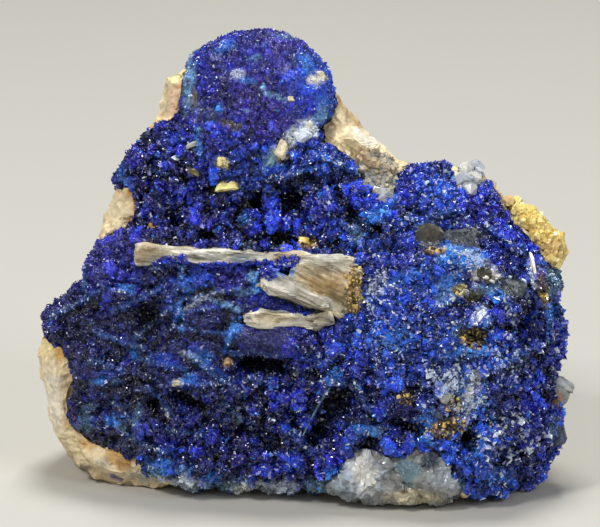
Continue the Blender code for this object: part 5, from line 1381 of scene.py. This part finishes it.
class LINARITE_OT_small_pieces(bpy.types.Operator):
    """Adds the patches of other crystals, the chips and the thin blade"""

    bl_idname = "linarite.small_pieces"
    bl_label = "Add Small Pieces"

    def execute(self, context):
        for seed, growth in enumerate(GROWTHS):
            self.growth(np.random.default_rng(SEED + seed), *growth)
        chips = mineral("pale chip", 1500, 0.4, 0.5, (0.25, 0.6))
        self.chips(np.random.default_rng(SEED), "pale_chips", CHIPS, 0.26, 0.1, chips, "baryte")
        panes = mineral("dark quartz pane", 2200, 0.6, 0.15, (0.1, 0.35), 0.12, IOR=1.55)
        self.chips(np.random.default_rng(SEED), "dark_quartz_panes", PANES, 0.2, -0.4, panes, "smoky_quartz")
        self.thin_blade()
        return {"FINISHED"}

    def growth(self, chance, name, ground, places, spacing, size, tones, slot):
        """One patch of crystals on a piece that is there already."""
        points, normals, _ = sampled(bpy.data.objects[ground].data, spacing, chance)
        flat, _ = on_face(points)
        reach = np.max([reach_into(flat, place) for place in places], axis=0)
        kept = (reach + 0.25 * noise_at(points, 0.9, 51) > 0.05) & (normals @ OUTWARD > -0.2)
        points, normals = points[kept], normals[kept]
        palette = np.array([TONES[tone_name] for tone_name in tones])
        colours = palette[chance.integers(len(tones), size=len(points))]
        colours = colours * np.exp(chance.normal(0, 0.2, len(points)))[:, None]
        sizes = size * MM * np.exp(chance.normal(0, 0.25, len(points)))
        axes, sides = stood(normals, 0.55, chance, cell_kinds(cells_at(points, 2 * size, 69)[2], 6))
        forms = chance.random(len(points))

        def shape(mine):
            return sizes[mine] * 0.8, sizes[mine] * 0.5, sizes[mine] * 1.0

        shares = ((WEDGE, 0.0, 0.5), (CHISEL, 0.5, 1.0))
        colours = np.clip(colours, 0, BRIGHTEST)
        groups = crystal_groups(shares, forms, points, axes, sides, shape, colours)
        material = mineral(name.replace("_", " "), 1200, 0.25, 0.15, (0.05, 0.3), IOR=1.7)
        crystal_piece(name, groups, material)

    def chips(self, chance, name, table, wobble, rise, material, slot):
        """Irregular chips of other minerals in the druse, raised by a share of their half thickness."""
        pieces = []
        levels = front_level(np.array([chip[:2] for chip in table]))
        for (across, up, length, width, half, turn, tone_name), out in zip(table, levels):
            piece = new_block("chip", 2)
            mesh = piece.data
            shape = mesh_values(mesh, "co")
            shape += wobble * sway(shape * MM, 0.55, range(len(pieces) + 71, len(pieces) + 74))
            shape[:, 0] *= 1 - 0.35 * chance.random() * (shape[:, 1] + 0.5)
            give_places(mesh, shape * (length, width, 2 * half) * MM)
            tip = (wobble - 0.1) * chance.uniform(-2, 2, 2)
            settled(piece, face_matrix(across, up, out + rise * half, turn, tip))
            shade = 1 + 0.35 * noise_at(mesh_values(mesh, "co"), 0.6, 74)
            coloured(mesh, np.clip(TONES[tone_name] * shade[:, None], 0, BRIGHTEST))
            pieces.append(piece)
        joined(pieces)
        pieces[0].name = pieces[0].data.name = name
        dressed(pieces[0], material)

    def thin_blade(self):
        """The thin grey blade that stands on edge beside the deep cleft."""
        piece = new_block("thin_grey_blade", 7)
        mesh = piece.data
        shape = mesh_values(mesh, "co")
        share = shape[:, 1] + 0.5
        route = np.array(THIN_BLADE)
        line = ((1 - share) ** 2)[:, None] * route[0] + (share**2)[:, None] * route[2]
        line += (2 * share * (1 - share))[:, None] * (2 * route[1] - (route[0] + route[2]) / 2)
        line[:, 0] += shape[:, 0] * THIN_BLADE_WIDTH * (1 - 0.4 * share)
        level = np.interp(1 - share, (0, 0.5, 1), front_level(route)[::-1])
        out = level + 0.8 + shape[:, 2] * THIN_BLADE_DEPTH
        places = np.array([placed(across, up, level) for (across, up), level in zip(line, out)])
        give_places(mesh, places)
        roughened(piece, ((1.2, 0.08), (0.4, 0.05)))
        points = mesh_values(mesh, "co")
        tint = TONES["teal"] * (0.7 + 0.3 * noise_at(points, 0.8, 75))[:, None]
        coloured(mesh, np.clip(tint, 0, BRIGHTEST))
        dressed(piece, mineral("thin blade", 1800, 0.3, 0.2, (0.1, 0.3)))


FLOOR_SIZE = 3.0  # metres each way
FLOOR_RISES = ((0, 0.3, 0.4), (0, 0, 2.0))  # metres by which its back edge sweeps up
ROOM_COLOUR = (0.8, 0.82, 0.86, 1)
ROOM_STRENGTH = 0.26
AIM_DROP = 0.4  # mm below the set height, as the photo is framed
LIGHTS = (
    # name, place from the aim in metres, side in metres, share of the key's power, colour
    ("key light", (-0.46, -0.46, 0.7), 0.16, 1.05, (1.0, 0.98, 0.94)),
    ("top light", (0.02, 0.24, 0.84), 0.26, 1.35, (1.0, 0.99, 0.97)),
    ("fill light", (0.56, -0.6, 0.6), 0.4, 0.65, (0.95, 0.98, 1.0)),
    ("front light", (-0.15, -0.85, 0.4), 0.25, 0.15, (1.0, 1.0, 1.0)),
)


class LINARITE_OT_stage(bpy.types.Operator):
    """Adds the pale floor, the soft lights and the camera"""

    bl_idname = "linarite.stage"
    bl_label = "Set Stage"

    def execute(self, context):
        settings = context.scene.linarite_stage
        aim = placed(0, settings.aim - AIM_DROP, 0)
        self.floor(settings)
        for name, place, side, share, colour in LIGHTS:
            self.light(name, aim, Vector(place), side, share * settings.key_power, colour)
        self.camera(context, settings, aim)
        world = bpy.data.worlds.new("soft room")
        world.use_nodes = True
        background = world.node_tree.nodes["Background"]
        feed(world.node_tree, background, {"Color": ROOM_COLOUR, "Strength": ROOM_STRENGTH})
        context.scene.world = world
        context.scene.view_settings.view_transform = "Standard"
        return {"FINISHED"}

    def floor(self, settings):
        """A floor that sweeps up behind the specimen."""
        bpy.ops.object.select_all(action="DESELECT")
        bpy.ops.mesh.primitive_plane_add(size=FLOOR_SIZE, location=(0, 0, 0))
        floor = bpy.context.active_object
        floor.name = "pale_floor"
        bpy.ops.object.mode_set(mode="EDIT")
        bpy.context.tool_settings.mesh_select_mode = (False, True, False)
        bpy.ops.mesh.select_all(action="DESELECT")
        shape = bmesh.from_edit_mesh(floor.data)
        for edge in shape.edges:
            edge.select_set(all(corner.co.y > FLOOR_SIZE / 2 - 1e-4 for corner in edge.verts))
        bmesh.update_edit_mesh(floor.data)
        for rise in FLOOR_RISES:
            bpy.ops.mesh.extrude_region_move(TRANSFORM_OT_translate={"value": rise})
        bpy.ops.object.mode_set(mode="OBJECT")
        material, tree, shader = new_material("pale floor")
        feed(tree, shader, {"Base Color": (*settings.floor, 1), "Roughness": 0.7})
        floor.data.materials.append(material)

    def light(self, name, aim, place, side, power, colour):
        """A square soft light that looks at the specimen."""
        lamp = bpy.data.lights.new(name, "AREA")
        lamp.shape = "SQUARE"
        lamp.size = side
        lamp.energy = power
        lamp.color = colour
        node = bpy.data.objects.new(name, lamp)
        node.location = aim + place
        node.rotation_euler = (-place).to_track_quat("-Z", "Y").to_euler()
        bpy.context.scene.collection.objects.link(node)

    def camera(self, context, settings, aim):
        """The camera looks square at the leaning face."""
        data = bpy.data.cameras.new("camera")
        data.sensor_width = 36
        data.lens = data.sensor_width * settings.distance / settings.view_width
        data.clip_start = 0.01
        camera = bpy.data.objects.new("camera", data)
        camera.location = aim + Vector(OUTWARD) * settings.distance
        camera.rotation_euler = (math.radians(90) - LEAN, 0, 0)
        context.scene.collection.objects.link(camera)
        context.scene.camera = camera


class LINARITE_PT_panel(bpy.types.Panel):
    """Sizes, colours and steps of the specimen"""

    bl_idname = "LINARITE_PT_panel"
    bl_label = "Linarite Specimen"
    bl_space_type = "VIEW_3D"
    bl_region_type = "UI"
    bl_category = "Linarite"

    def draw(self, context):
        layout = self.layout
        for holder, group, _ in GROUPS:
            settings = getattr(context.scene, holder)
            box = layout.box()
            box.label(text=group.__doc__)
            for name in group.__annotations__:
                box.prop(settings, name)
        for operator in OPERATORS:
            layout.operator(operator.bl_idname)


GROUPS = (
    ("linarite_druse", DruseSettings, "Linarite Druse"),
    ("linarite_rock", RockSettings, "Host Rock"),
    ("linarite_stage", StageSettings, "Stage"),
)
OPERATORS = (
    LINARITE_OT_stage,
    LINARITE_OT_host_rock,
    LINARITE_OT_ledge,
    LINARITE_OT_quartz,
    LINARITE_OT_edge_blades,
    LINARITE_OT_crust,
    LINARITE_OT_crystals,
    LINARITE_OT_small_pieces,
)


def register():
    for holder, group, title in GROUPS:
        bpy.utils.register_class(group)
        setattr(bpy.types.Scene, holder, PointerProperty(type=group, name=title))
    for operator in OPERATORS:
        bpy.utils.register_class(operator)
    bpy.utils.register_class(LINARITE_PT_panel)


def unregister():
    bpy.utils.unregister_class(LINARITE_PT_panel)
    for operator in reversed(OPERATORS):
        bpy.utils.unregister_class(operator)
    for holder, group, _ in reversed(GROUPS):
        delattr(bpy.types.Scene, holder)
        bpy.utils.unregister_class(group)


def main():
    """Builds every piece in order."""
    register()
    bpy.ops.linarite.stage()
    bpy.ops.linarite.host_rock()
    bpy.ops.linarite.ledge()
    bpy.ops.linarite.quartz()
    bpy.ops.linarite.edge_blades()
    bpy.ops.linarite.crust()
    bpy.ops.linarite.crystals()
    bpy.ops.linarite.small_pieces()


if __name__ == "__main__":
    main()
